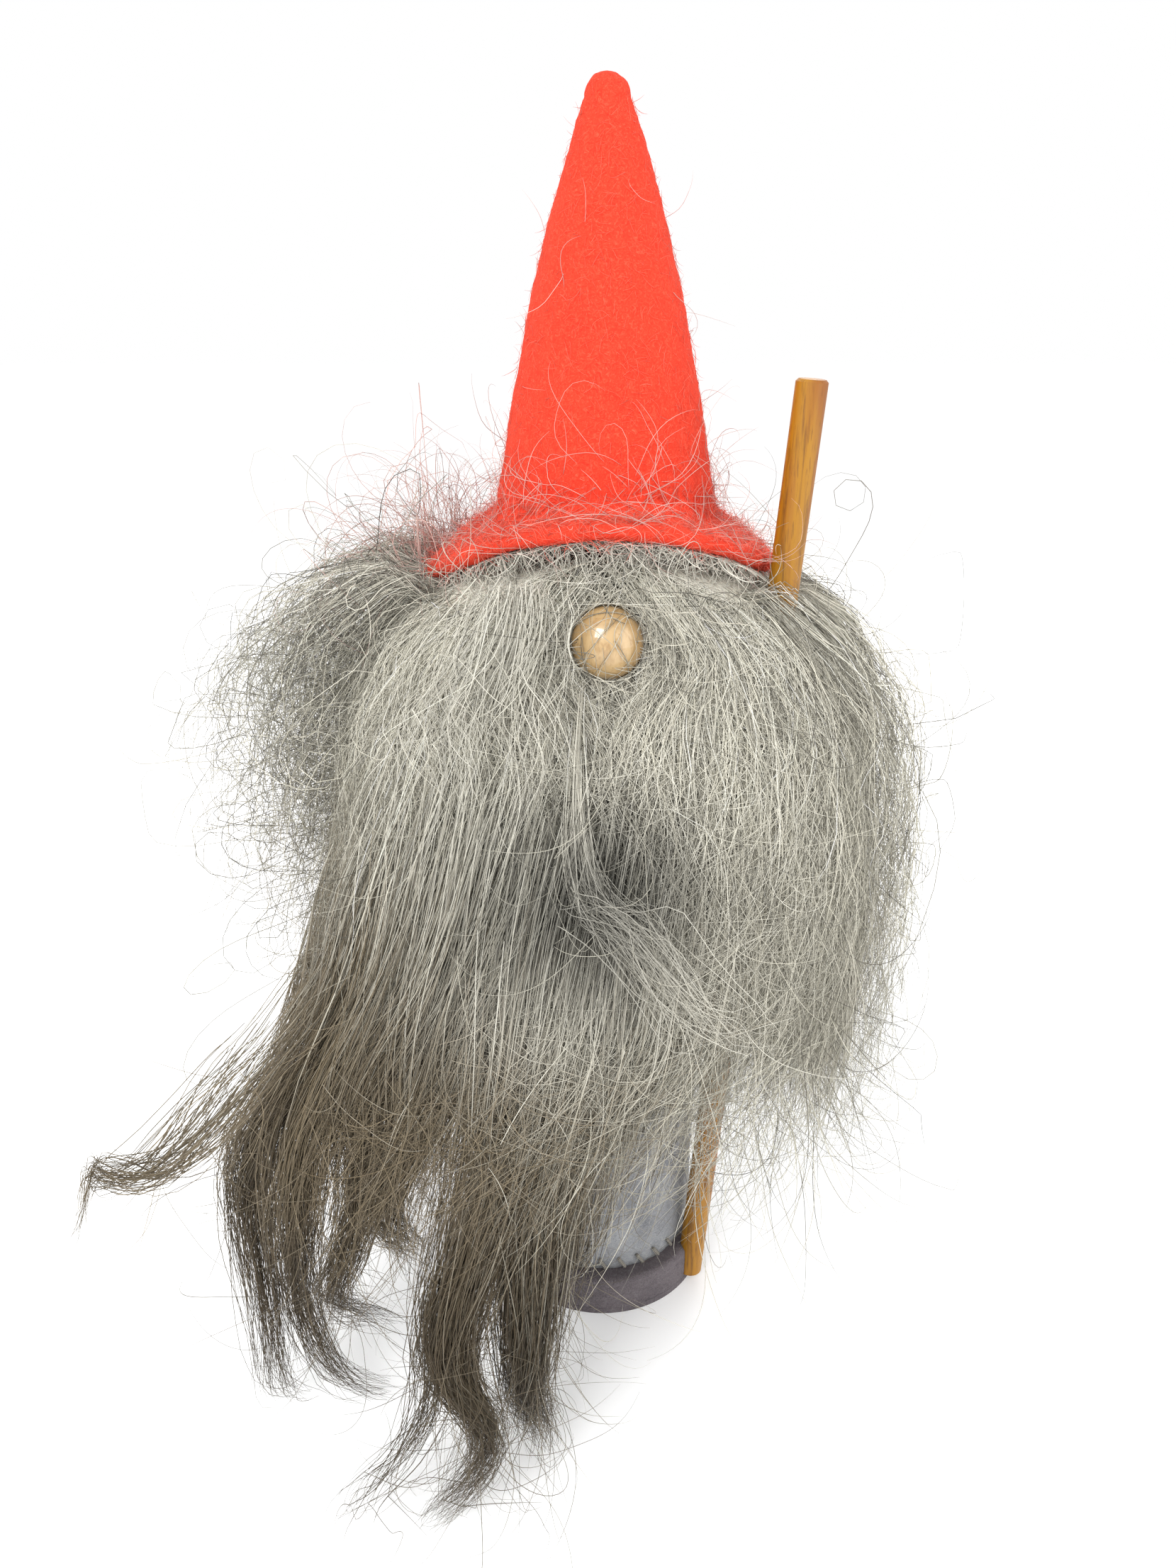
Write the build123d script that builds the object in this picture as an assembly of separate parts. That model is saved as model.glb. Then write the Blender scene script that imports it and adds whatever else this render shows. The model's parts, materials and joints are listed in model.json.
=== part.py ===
from build123d import *
import os
from math import sqrt

# Tomte gnome figurine: a felt-covered body on a weighted wooden base, a fleece beard and hair,
# a wooden bead nose, a tall felt hat over a card cone, and a wooden walking staff.
#
# Row frame, millimetres: the origin is the centre of the resting face, +Z is up,
# -Y is the front (the nose side) and +X is the figure's left, where the staff stands.

# ---- Driving dimensions ----
TOTAL_HEIGHT = 222.0
FELT = 1.8  # hat felt thickness
SKIN = 1.5  # body felt thickness
GAP = 0.1  # clearance between nested parts that don't move

# Base
SOLE_RADIUS = 21.2
SOLE_THICKNESS = 1.5
DISC_RADIUS = 20.0
DISC_THICKNESS = 6.0
COVER_THICKNESS = 1.2
COVER_INNER_RADIUS = 16.2
EDGE_BREAK = 0.5  # chamfer on turned wooden edges

# Core
POST_RADIUS = 6.0
POST_TOP = 151.0
HEAD_CENTRE_Z = 148.0
HEAD_RADIUS = 15.9
SCREW_SHANK_RADIUS = 1.75
SCREW_HEAD_RADIUS = 3.6
SCREW_HEAD_HEIGHT = 2.0
SCREW_LENGTH = 35.0
SCREW_TIP = 3.0
DRIVE_DEPTH = 0.9
DRIVE_SPAN = 4.2
WASHER_COUNT = 4
WASHER_THICKNESS = 2.5
WASHER_INNER_RADIUS = 6.3
WASHER_OUTER_RADIUS = 15.8

# Felt body, from the base up to the domed head: (radius, height)
BODY_FOOT_RADIUS = 18.1
BODY_BELLY = (18.8, 60.0)
BODY_CHEST = (18.4, 100.0)
NECK_RADIUS = 17.5
NECK_Z = 125.0

# Nose
NOSE_RADIUS = 6.0
NOSE_Z = 141.0
PEG_RADIUS = 1.5
PEG_LENGTH = 22.0

# Pelts and fleece
PELT_THICKNESS = 1.15
PELT_LOW = 127.0
PELT_HIGH = 150.0
PARTING_Y = 2.0  # plane between the beard and the back hair
BARE = 0.8  # room left round the parts that the fleece lies against
# Level ellipses that the fleece is lofted through: (z, centre x, centre y, half width, half depth)
BEARD_SECTIONS = [
    (145.0, 0, 0, 26, 26),
    (139.0, 0, -2, 36, 31),
    (118.0, -1, -3, 46, 38),
    (84.0, -4, -5, 50, 43),
    (54.0, -13, -10, 50, 43),
    (26.0, -25, -22, 39, 38),
    (1.0, -31, -37, 32, 28),
]
HAIR_SECTIONS = [
    (145.0, 0, 0, 26, 26),
    (139.0, 0, 2, 37, 31),
    (118.0, 0, 2, 46, 36),
    (84.0, 0, 2, 47, 38),
    (48.0, 0, 1, 40, 33),
    (26.0, 0, 0, 30, 28),
]

# Hat
HAT_RIM_RADIUS = 19.0
HAT_RIM_Z = 154.0
HAT_SIDES = [(HAT_RIM_RADIUS, HAT_RIM_Z), (14.2, 181.0), (9.6, 200.0)]  # up to the rounded tip
HAT_TIP_RADIUS = 3.5
HAT_FLARE = 0.8  # how much wider the cone's open end is below the rim
BRIM_RADIUS = 29.0
BRIM_CREST_Z = 157.6  # underside of the brim at the front and back
BRIM_ARCH_RADIUS = 43.5  # the brim droops at the sides on this arc
CARD = 0.6
CARD_LOW = 158.0
CARD_HIGH = 206.0

# Staff
STAFF_RADIUS = 2.5
STAFF_FOOT = Vector(18.3, -10.6, 1.6)  # stands on the sole, in a notch in the base's rim
STAFF_TIP = Vector(30.8, -14.9, 179.5)
NOTCH_CLEARANCE = 0.05
LOOP_LOW = 100.0
LOOP_HEIGHT = 8.0
LOOP_THICKNESS = 1.2
LOOP_CLEARANCE = 0.08
LOOP_DRIFT = 0.35  # the staff's sideways drift over half the loop's height
LOOP_PATCH_WIDTH = 13.0

# Thread
THREAD_RADIUS = 0.35
STITCH_LENGTH = 3.0
THREAD_LIFT = 0.02  # how far a stitch stands off the surface it lies on
SEAM_STITCHES = 13
SEAM_LOW = 18.0
SEAM_PITCH = 8.0
HEM_STITCHES = 30
PELT_STITCHES = 24

# ---- Derived dimensions ----
DISC_LOW = SOLE_THICKNESS
DISC_TOP = DISC_LOW + DISC_THICKNESS
COVER_TOP = DISC_TOP + COVER_THICKNESS
COVER_RADIUS = DISC_RADIUS + COVER_THICKNESS
WASHERS_TOP = DISC_TOP + WASHER_COUNT * WASHER_THICKNESS
PELT_INNER = NECK_RADIUS + 0.05
PELT_OUTER = PELT_INNER + PELT_THICKNESS
NOSE_Y = -(NECK_RADIUS + NOSE_RADIUS + GAP)
PEG_START = NOSE_Y - PEG_RADIUS
PEG_END = PEG_START + PEG_LENGTH
STAFF_LINE = Plane(origin=STAFF_FOOT, z_dir=STAFF_TIP - STAFF_FOOT)
STAFF_LENGTH = (STAFF_TIP - STAFF_FOOT).length
LOOP_INNER = BODY_CHEST[0] + 0.35
STANDING = (Align.CENTER, Align.CENTER, Align.MIN)
BIG = 400.0


# ---- Shared shapes ----
def upright(radius, low, high):
    """A cylinder on the figure's axis between two heights."""
    return Pos(0, 0, low) * Cylinder(radius, high - low, align=STANDING)


def ring(inner, outer, low, high):
    """A tube on the figure's axis between two heights."""
    return upright(outer, low, high) - upright(inner, low - 1, high + 1)


def along_staff(radius, start, length):
    """A cylinder on the staff's axis, from start millimetres above its foot."""
    return STAFF_LINE * (Pos(0, 0, start) * Cylinder(radius, length, align=STANDING))


def front_to_back(radius, y_low, y_high, z):
    """A cylinder along Y, for the nose's peg and its holes."""
    return Pos(0, y_low, z) * Rot(-90, 0, 0) * Cylinder(radius, y_high - y_low, align=STANDING)


def staff_centre(z):
    """Where the staff's axis crosses a height."""
    share = (z - STAFF_FOOT.Z) / (STAFF_TIP.Z - STAFF_FOOT.Z)
    return STAFF_FOOT + (STAFF_TIP - STAFF_FOOT) * share


def round_edges(shape):
    """The circular edges of a shape."""
    return shape.edges().filter_by(GeomType.CIRCLE)


def turned(edges):
    """A solid of revolution about Z from edges drawn in the XZ plane."""
    return revolve(make_face(edges), Axis.Z, 360)


def figure_form(inset):
    """The filled body-and-head form, its surface moved in by inset."""
    dome = NECK_RADIUS - inset
    half = sqrt(0.5) * dome
    foot = (BODY_FOOT_RADIUS - inset, COVER_TOP)
    belly = (BODY_BELLY[0] - inset, BODY_BELLY[1])
    chest = (BODY_CHEST[0] - inset, BODY_CHEST[1])
    neck = (dome, NECK_Z)
    temple = (dome, HEAD_CENTRE_Z)
    crown = (0, HEAD_CENTRE_Z + dome)
    with BuildLine(Plane.XZ) as outline:
        Spline(foot, belly, chest, neck)
        Line(neck, temple)
        ThreePointArc(temple, (half, HEAD_CENTRE_Z + half), crown)
        Line(crown, (0, COVER_TOP))
        Line((0, COVER_TOP), foot)
    return turned(outline.line)


def hat_form(inset, drop=8.0):
    """The filled hat cone, its surface moved in by inset, carried down by drop below the rim."""
    sides = [(radius - inset, z - 0.25 * inset) for radius, z in HAT_SIDES]
    low = HAT_RIM_Z - drop
    flare = (sides[0][0] + HAT_FLARE, low)
    tip = HAT_TIP_RADIUS - inset
    tip_z = TOTAL_HEIGHT - HAT_TIP_RADIUS
    crown = (0, tip_z + tip)
    with BuildLine(Plane.XZ) as outline:
        Line((0, low), flare)
        Line(flare, sides[0])
        Spline(*sides, (tip, tip_z))
        ThreePointArc((tip, tip_z), (sqrt(0.5) * tip, tip_z + sqrt(0.5) * tip), crown)
        Line(crown, (0, low))
    return turned(outline.line)


def arch(radius):
    """A cylinder lying along Y, whose top is the brim's arch."""
    centre = Pos(0, 0, BRIM_CREST_Z - BRIM_ARCH_RADIUS)
    return centre * Rot(90, 0, 0) * Cylinder(radius, 4 * BRIM_RADIUS)


def lofted(sections):
    """A solid through level ellipses."""
    return loft([Pos(x, y, z) * Ellipse(rx, ry) for z, x, y, rx, ry in sections])


def front_of(y):
    """Everything in front of a plane across the figure."""
    return Pos(0, y - BIG / 2, 0) * Box(BIG, BIG, 2 * BIG)


def behind(y):
    """Everything behind a plane across the figure."""
    return Pos(0, y + BIG / 2, 0) * Box(BIG, BIG, 2 * BIG)


# ---- Base ----
def sole_felt():
    return upright(SOLE_RADIUS, 0, SOLE_THICKNESS)


def post_screw():
    """A countersunk wood screw with a cross drive, driven up through the base disc."""
    head = Pos(0, 0, DISC_LOW) * Cone(SCREW_HEAD_RADIUS, SCREW_SHANK_RADIUS, SCREW_HEAD_HEIGHT, align=STANDING)
    shank_top = DISC_LOW + SCREW_LENGTH - SCREW_TIP
    shank = upright(SCREW_SHANK_RADIUS, DISC_LOW + SCREW_HEAD_HEIGHT, shank_top)
    tip = Pos(0, 0, shank_top) * Cone(SCREW_SHANK_RADIUS, SCREW_SHANK_RADIUS / 8, SCREW_TIP, align=STANDING)
    bar = Box(DRIVE_SPAN, DRIVE_DEPTH, DRIVE_DEPTH)
    drive = Pos(0, 0, DISC_LOW + DRIVE_DEPTH / 2) * (bar + Rot(0, 0, 90) * bar)
    return head + shank + tip - drive


def base_disc():
    disc = upright(DISC_RADIUS, DISC_LOW, DISC_TOP)
    disc = chamfer(round_edges(disc), EDGE_BREAK)
    sink = Cone(SCREW_HEAD_RADIUS + GAP, SCREW_SHANK_RADIUS + GAP, SCREW_HEAD_HEIGHT, align=STANDING)
    disc -= Pos(0, 0, DISC_LOW) * sink
    disc -= upright(SCREW_SHANK_RADIUS + GAP, DISC_LOW, DISC_TOP + 1)
    return disc - along_staff(STAFF_RADIUS + NOTCH_CLEARANCE, -5, 25)


def base_cover():
    cover = upright(COVER_RADIUS, DISC_LOW, COVER_TOP)
    cover = fillet(cover.edges().group_by(Axis.Z)[-1], 0.75 * COVER_THICKNESS)
    cover -= upright(DISC_RADIUS + 0.02, DISC_LOW - 1, DISC_TOP)
    cover -= upright(COVER_INNER_RADIUS, 0, COVER_TOP + 1)
    return cover - along_staff(STAFF_RADIUS + 3 * GAP, -5, 25)


def ballast_washers():
    washer = ring(WASHER_INNER_RADIUS, WASHER_OUTER_RADIUS, 0, WASHER_THICKNESS)
    washer = chamfer(round_edges(washer), 0.2)
    return [Pos(0, 0, DISC_TOP + i * WASHER_THICKNESS) * washer for i in range(WASHER_COUNT)]


# ---- Core and body ----
def core_post():
    post = chamfer(round_edges(upright(POST_RADIUS, DISC_TOP, POST_TOP)), EDGE_BREAK)
    return post - post_screw() - front_to_back(PEG_RADIUS, -POST_RADIUS - 1, PEG_END, NOSE_Z)


def head_ball():
    ball = Pos(0, 0, HEAD_CENTRE_Z) * Sphere(HEAD_RADIUS)
    ball -= upright(POST_RADIUS, 0, POST_TOP)
    return ball - front_to_back(PEG_RADIUS, -HEAD_RADIUS - 2, 0, NOSE_Z)


def body_wadding():
    wadding = figure_form(SKIN + GAP) & upright(BIG, WASHERS_TOP + GAP, HEAD_CENTRE_Z)
    wadding -= Pos(0, 0, HEAD_CENTRE_Z) * Sphere(HEAD_RADIUS + GAP)
    wadding -= upright(POST_RADIUS + GAP, 0, BIG)
    return wadding - front_to_back(PEG_RADIUS + GAP, -NECK_RADIUS, 0, NOSE_Z)


def body_felt():
    tube = figure_form(0) - figure_form(SKIN)
    tube -= upright(BODY_FOOT_RADIUS - SKIN, 0, COVER_TOP + 2)
    return tube - front_to_back(PEG_RADIUS + 0.02, -NECK_RADIUS - 1, -POST_RADIUS, NOSE_Z)


# ---- Nose ----
def nose_peg():
    return chamfer(round_edges(front_to_back(PEG_RADIUS, PEG_START, PEG_END, NOSE_Z)), 0.3)


def nose_bead():
    bead = Pos(0, NOSE_Y, NOSE_Z) * Sphere(NOSE_RADIUS)
    return bead - front_to_back(PEG_RADIUS, PEG_START, 0, NOSE_Z)


# ---- Pelts that the fleece grows from ----
def pelt_band():
    return ring(PELT_INNER, PELT_OUTER, PELT_LOW, PELT_HIGH)


def beard_pelt():
    nose_room = front_to_back(NOSE_RADIUS + BARE / 2, -2 * NECK_RADIUS, 0, NOSE_Z)
    return (pelt_band() & front_of(PARTING_Y - GAP)) - nose_room


def hair_pelt():
    return pelt_band() & behind(PARTING_Y + GAP)


# ---- Fleece: plain closed masses with the true outer size ----
def fleece(sections, side):
    """A lofted mass on one side of the parting, clear of the body, base, nose, staff and loop."""
    mass = lofted(sections) & side
    mass -= upright(LOOP_INNER + LOOP_THICKNESS + GAP, -1, BIG)
    mass -= upright(COVER_RADIUS + BARE, -1, COVER_TOP + BARE)
    mass -= Pos(0, NOSE_Y, NOSE_Z) * Sphere(NOSE_RADIUS + BARE / 2)
    mass -= along_staff(STAFF_RADIUS + BARE, -10, 2 * STAFF_LENGTH)
    loop_room = extrude(loop_outline(BARE), LOOP_HEIGHT + 2 * BARE)
    return mass - Pos(0, 0, LOOP_LOW - BARE) * loop_room


def beard_fleece():
    return fleece(BEARD_SECTIONS, front_of(PARTING_Y - GAP))


def hair_fleece():
    return fleece(HAIR_SECTIONS, behind(PARTING_Y + GAP))


# ---- Hat ----
def card_cone():
    outer = hat_form(FELT + GAP) - hat_form(FELT + GAP + CARD)
    return outer & upright(BIG, CARD_LOW, CARD_HIGH)


def tip_wadding():
    inside = hat_form(FELT + 2 * GAP + CARD)
    return inside & upright(BIG, HEAD_CENTRE_Z + NECK_RADIUS + 1, CARD_HIGH - 1)


def hat_felt():
    """The cone and its wide brim, cut along the underside of the arch."""
    brim = arch(BRIM_ARCH_RADIUS + FELT) & upright(BRIM_RADIUS, HAT_RIM_Z - 12, BRIM_CREST_Z + 5)
    outside = hat_form(0, drop=6) + brim
    return outside - arch(BRIM_ARCH_RADIUS) - hat_form(FELT, drop=16)


# ---- Staff and its loop ----
def staff():
    return chamfer(round_edges(along_staff(STAFF_RADIUS, 0, STAFF_LENGTH)), 0.4)


def loop_direction():
    """The staff's place and bearing at the loop, as (centre, reach, degrees from +X)."""
    centre = staff_centre(LOOP_LOW + LOOP_HEIGHT / 2)
    flat = Vector(centre.X, centre.Y, 0)
    return flat, flat.length, Vector(1, 0, 0).get_signed_angle(flat, Vector(0, 0, 1))


def loop_outline(extra=0.0):
    """The loop seen from above: a ring round the staff and a tab back to the body."""
    centre, reach, bearing = loop_direction()
    eye = Pos(centre.X, centre.Y) * Circle(STAFF_RADIUS + LOOP_DRIFT + LOOP_THICKNESS + extra)
    root = LOOP_INNER - 3
    tab = Rectangle(reach - root, 2 * LOOP_THICKNESS + 2 * extra)
    return eye + Rot(0, 0, bearing) * Pos((reach + root) / 2, 0) * tab


def loop_patch():
    """The curved foot of the loop, sewn to the body."""
    _, _, bearing = loop_direction()
    band = ring(LOOP_INNER, LOOP_INNER + LOOP_THICKNESS, LOOP_LOW, LOOP_LOW + LOOP_HEIGHT)
    return band & (Rot(0, 0, bearing) * Pos(LOOP_INNER, 0, 0) * Box(LOOP_INNER, LOOP_PATCH_WIDTH, BIG))


def staff_loop():
    strap = Pos(0, 0, LOOP_LOW) * extrude(loop_outline(), LOOP_HEIGHT)
    strap -= upright(LOOP_INNER, 0, BIG)
    return strap + loop_patch() - along_staff(STAFF_RADIUS + LOOP_CLEARANCE, 0, STAFF_LENGTH)


# ---- Thread ----
def stitch(turn, radius, z, lean):
    """A short round-ended stitch on the surface, turned about Z and leaning by lean degrees."""
    straight = STITCH_LENGTH - 2 * THREAD_RADIUS
    end = Sphere(THREAD_RADIUS)
    thread = Cylinder(THREAD_RADIUS, straight) + Pos(0, 0, straight / 2) * end + Pos(0, 0, -straight / 2) * end
    return Rot(0, 0, turn) * Pos(radius + THREAD_RADIUS + THREAD_LIFT, 0, z) * Rot(lean, 0, 0) * thread


def body_radius(z):
    """The felt body's outer radius at a height, read from the form itself."""
    slice_solid = figure_form(0) & upright(BIG, z, z + GAP)
    return slice_solid.bounding_box().max.X


def seam_stitches():
    """Slanting stitches up the back of the body."""
    heights = [SEAM_LOW + SEAM_PITCH * i for i in range(SEAM_STITCHES)]
    return [stitch(90, body_radius(z), z, 35 if i % 2 else -35) for i, z in enumerate(heights)]


def hem_stitches():
    """Stitches from the body down to the base cover, with none behind the staff's foot."""
    z = COVER_TOP + STITCH_LENGTH / 2 + 2 * GAP
    radius = body_radius(z)
    staff_bearing = Vector(1, 0, 0).get_signed_angle(Vector(STAFF_FOOT.X, STAFF_FOOT.Y, 0), Vector(0, 0, 1))
    turns = [360 * (i + 0.5) / HEM_STITCHES for i in range(HEM_STITCHES)]
    clear = [turn for turn in turns if abs((turn - staff_bearing + 180) % 360 - 180) > 8]
    return [stitch(turn, radius, z, 30) for turn in clear]


def pelt_stitches():
    """Stitches round the top edge of the two pelts."""
    z = PELT_HIGH - STITCH_LENGTH / 2 - 4 * GAP
    return [stitch(360 * (i + 0.5) / PELT_STITCHES, PELT_OUTER, z, 25) for i in range(PELT_STITCHES)]


PARTS = [
    sole_felt, base_disc, base_cover, post_screw, ballast_washers, core_post, head_ball, body_wadding,
    body_felt, nose_peg, nose_bead, beard_pelt, hair_pelt, beard_fleece, hair_fleece, card_cone,
    tip_wadding, hat_felt, staff, staff_loop, seam_stitches, hem_stitches, pelt_stitches,
]

os.makedirs("parts", exist_ok=True)
for make in PARTS:
    shape = make()
    if isinstance(shape, (list, tuple)):
        shape = Compound(children=list(shape))
    export_step(shape, f"parts/{make.__name__}.step")
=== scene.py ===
import json
from math import radians

import bpy
import numpy as np
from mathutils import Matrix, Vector, noise

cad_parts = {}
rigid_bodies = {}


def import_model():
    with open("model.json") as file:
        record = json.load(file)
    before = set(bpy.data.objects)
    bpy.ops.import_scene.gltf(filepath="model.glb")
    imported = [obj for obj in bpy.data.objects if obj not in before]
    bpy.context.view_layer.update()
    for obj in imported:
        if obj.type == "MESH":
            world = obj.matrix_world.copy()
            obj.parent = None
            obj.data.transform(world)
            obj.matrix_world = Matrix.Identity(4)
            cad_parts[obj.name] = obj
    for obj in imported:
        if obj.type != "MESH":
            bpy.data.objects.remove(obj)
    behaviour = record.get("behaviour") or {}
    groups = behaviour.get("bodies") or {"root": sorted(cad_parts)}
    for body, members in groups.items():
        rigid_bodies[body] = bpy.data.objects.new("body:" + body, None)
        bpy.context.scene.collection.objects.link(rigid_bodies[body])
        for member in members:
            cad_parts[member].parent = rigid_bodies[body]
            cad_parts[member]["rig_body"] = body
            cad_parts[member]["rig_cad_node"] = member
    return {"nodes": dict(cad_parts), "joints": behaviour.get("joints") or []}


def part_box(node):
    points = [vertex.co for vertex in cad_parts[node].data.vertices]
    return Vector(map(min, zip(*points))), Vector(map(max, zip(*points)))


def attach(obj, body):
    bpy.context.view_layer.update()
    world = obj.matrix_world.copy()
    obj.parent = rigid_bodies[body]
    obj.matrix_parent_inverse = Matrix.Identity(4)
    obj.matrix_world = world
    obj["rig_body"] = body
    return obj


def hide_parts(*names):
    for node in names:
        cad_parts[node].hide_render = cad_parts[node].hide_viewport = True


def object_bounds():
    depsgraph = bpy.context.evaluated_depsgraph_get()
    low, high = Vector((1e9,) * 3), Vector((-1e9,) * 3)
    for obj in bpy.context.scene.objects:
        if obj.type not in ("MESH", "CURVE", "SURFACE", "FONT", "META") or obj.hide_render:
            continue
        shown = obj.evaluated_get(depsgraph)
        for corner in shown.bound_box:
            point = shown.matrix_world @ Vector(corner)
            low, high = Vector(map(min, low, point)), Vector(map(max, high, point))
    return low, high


# Looks of the tomte gnome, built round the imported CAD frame. Lengths in this script are millimetres,
# with +Z up and the nose towards -Y, until a mesh is written in metres.

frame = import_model()
cad_low, cad_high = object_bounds()
MM = 0.001
TAU = 2 * np.pi


def box_mm(node):
    """Lowest and highest corner of a CAD node, in millimetres."""
    low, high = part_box(node)
    return np.array(low) / MM, np.array(high) / MM


# ---- Places read from the frame ----
HAT_LOW, HAT_HIGH = box_mm("hat_felt")
TIP_Z = HAT_HIGH[2]
BRIM_RADIUS = HAT_HIGH[0]
PELT_LOW, PELT_HIGH = box_mm("hair_pelt")
PELT_RADIUS = PELT_HIGH[1]
PELT_BOTTOM = PELT_LOW[2]
PELT_TOP = PELT_HIGH[2]
NOSE_LOW, NOSE_HIGH = box_mm("nose_bead")
NOSE = (NOSE_LOW + NOSE_HIGH) / 2
NOSE_RADIUS = (NOSE_HIGH[2] - NOSE_LOW[2]) / 2
BODY_LOW, BODY_HIGH = box_mm("body_felt")
BODY_RADIUS = BODY_HIGH[0]
COVER_LOW, COVER_HIGH = box_mm("base_cover")
COVER_RADIUS = COVER_HIGH[0]
COVER_TOP = COVER_HIGH[2]
STAFF_LOW, STAFF_HIGH = box_mm("staff")
STAFF_MID = (STAFF_LOW + STAFF_HIGH) / 2
STAFF_AXIS = np.array(next(j["axis"] for j in frame["joints"] if j["name"] == "staff_lift"))
STAFF_RADIUS = 2.5

# ---- The hat's form ----
FELT = 1.8
HAT_SIDES = [(154.0, 19.0), (181.0, 14.2), (200.0, 9.6), (TIP_Z - 3.5, 3.5)]  # (height, radius)
HAT_TIP_RADIUS = 3.5
BRIM_CREST_Z = 157.6
BRIM_ARCH_RADIUS = 43.5
HAT_TURN = 30.0  # degrees each way
BRIM_FELT = 2.5  # the brim's felt is softer and thicker than the cone's
BRIM_BEND = 1.8  # how far the bend between cone and brim reaches
BRIM_PULL = 2.0  # the figure's right side is pulled out to a point
# The wool stays this far under the brim, and may rise at this slope from this far outside the edge.
CEILING_GAP = 0.7
CEILING_SLOPE = 1.2
CEILING_EDGE = 0.6

# ---- The felt body, base cover and sole ----
BODY_SIDE = [(8.7, 18.1), (60.0, 18.8), (100.0, 18.4), (125.0, 17.5)]  # (height, radius)
BODY_NECK_Z, BODY_NECK_RADIUS = BODY_SIDE[-1]
BODY_DOME_Z = 148.0
BODY_FELT = 1.5
COVER_FELT = 1.2
COVER_OPENING = 16.2  # radius of the hole in the cover's top
COVER_CORNER = 1.0
SOLE_BOTTOM = 0.02
SOLE_TOP = 1.45
# The stuffing is simulated on a copy this many times larger. It presses outwards from a centre.
BAG_SCALE = 20
BAG_PRESSURE = 4.0
BAG_FRAMES = 20
STUFFING_CENTRE = np.array([0.0, 0.0, 90.0])
MOST_STUFFED = 0.7

# ---- The wool's form ----
# Height, half width and half depth of the wool, from the floor up.
WOOL_Z = [0, 26, 54, 84, 110, 125, 138, 147, 156]
WOOL_WIDE = [34, 41, 47, 47, 45.5, 43, 37, 29, 24]
WOOL_DEEP = [30, 36, 40, 42, 41, 37, 31, 28, 25]
# How far the front wool sweeps to the figure's right and forwards on its way to the floor.
SWEEP = (-31.0, -37.0)
SWEEP_FROM = 114.0
# Bearings between which the sweep fades to a tenth towards the staff, and grows from nothing at the back.
SWEEP_FADES = (-10.0, 60.0)
SWEEP_GROWS = (-115.0, -75.0)
# Bearings from the front, positive towards the staff, and how low the wool hangs there.
HANG_BEARING = [-180, -115, -92, -70, -48, -22, -8, 5, 22, 42, 62, 92, 115, 180]
HANG_Z = [36, 54, 62, 70, 70, 62, 52, 56, 64, 66, 58, 52, 44, 36]
# The wool parts round the nose. It is sunken there and below it: place, half width, half height and
# depth as a share of the wool's.
PARTING = radians(14)
NOSE_SEAT = (NOSE[0], NOSE[2], 12.0, 11.0, 0.2)
HOLLOW = (-1.0, 106.0, 15.0, 13.0, 0.13)
HOLLOW_SHADE = 0.78  # share of its light that wool in the hollow loses
FRONT_HALF_WIDE = 40.0  # turns a bearing into a distance across the front
NOSE_SIGHT = np.array([0.0, -0.963, 0.27])  # the nose is seen whole along this line
# The paler swell of wool under the hollow, and how far its tone is lifted.
SWELL = (-9.0, 88.0, 17.0, 9.0, 0.4)
TRIANGLES_PER_PIECE = 196000
# Room kept between the wool and what it passes, and past the CAD's outer box.
BODY_ROOM = 1.2
BASE_ROOM = 0.5
STAFF_ROOM = 0.5
NOSE_ROOM = 0.25
BRIM_ROOM = 2.8
FLOOR_ROOM = 0.35
PAST_CAD = 11.0

# ---- The camera ----
CAMERA_PLACE = (-3.0, -202.0, 190.0)
CAMERA_TILT = 22.2  # degrees below level
CAMERA_LENS = 27.03


def srgb(red, green, blue):
    """A linear colour from display values of 0 to 255."""
    return tuple(((c / 255 + 0.055) / 1.055) ** 2.4 for c in (red, green, blue))


WOOL_LIGHT = srgb(246, 243, 230)
WOOL_MID = srgb(222, 218, 202)
WOOL_GREY = srgb(160, 156, 142)
WOOL_DARK = srgb(84, 81, 74)
WOOL_BROWN = srgb(126, 110, 84)
WOOL_UMBER = srgb(68, 56, 38)
WOOL_PINK = srgb(230, 192, 182)
FELT_FIBRE = srgb(250, 110, 86)
BRIM_FIBRE = srgb(252, 118, 96)


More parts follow.
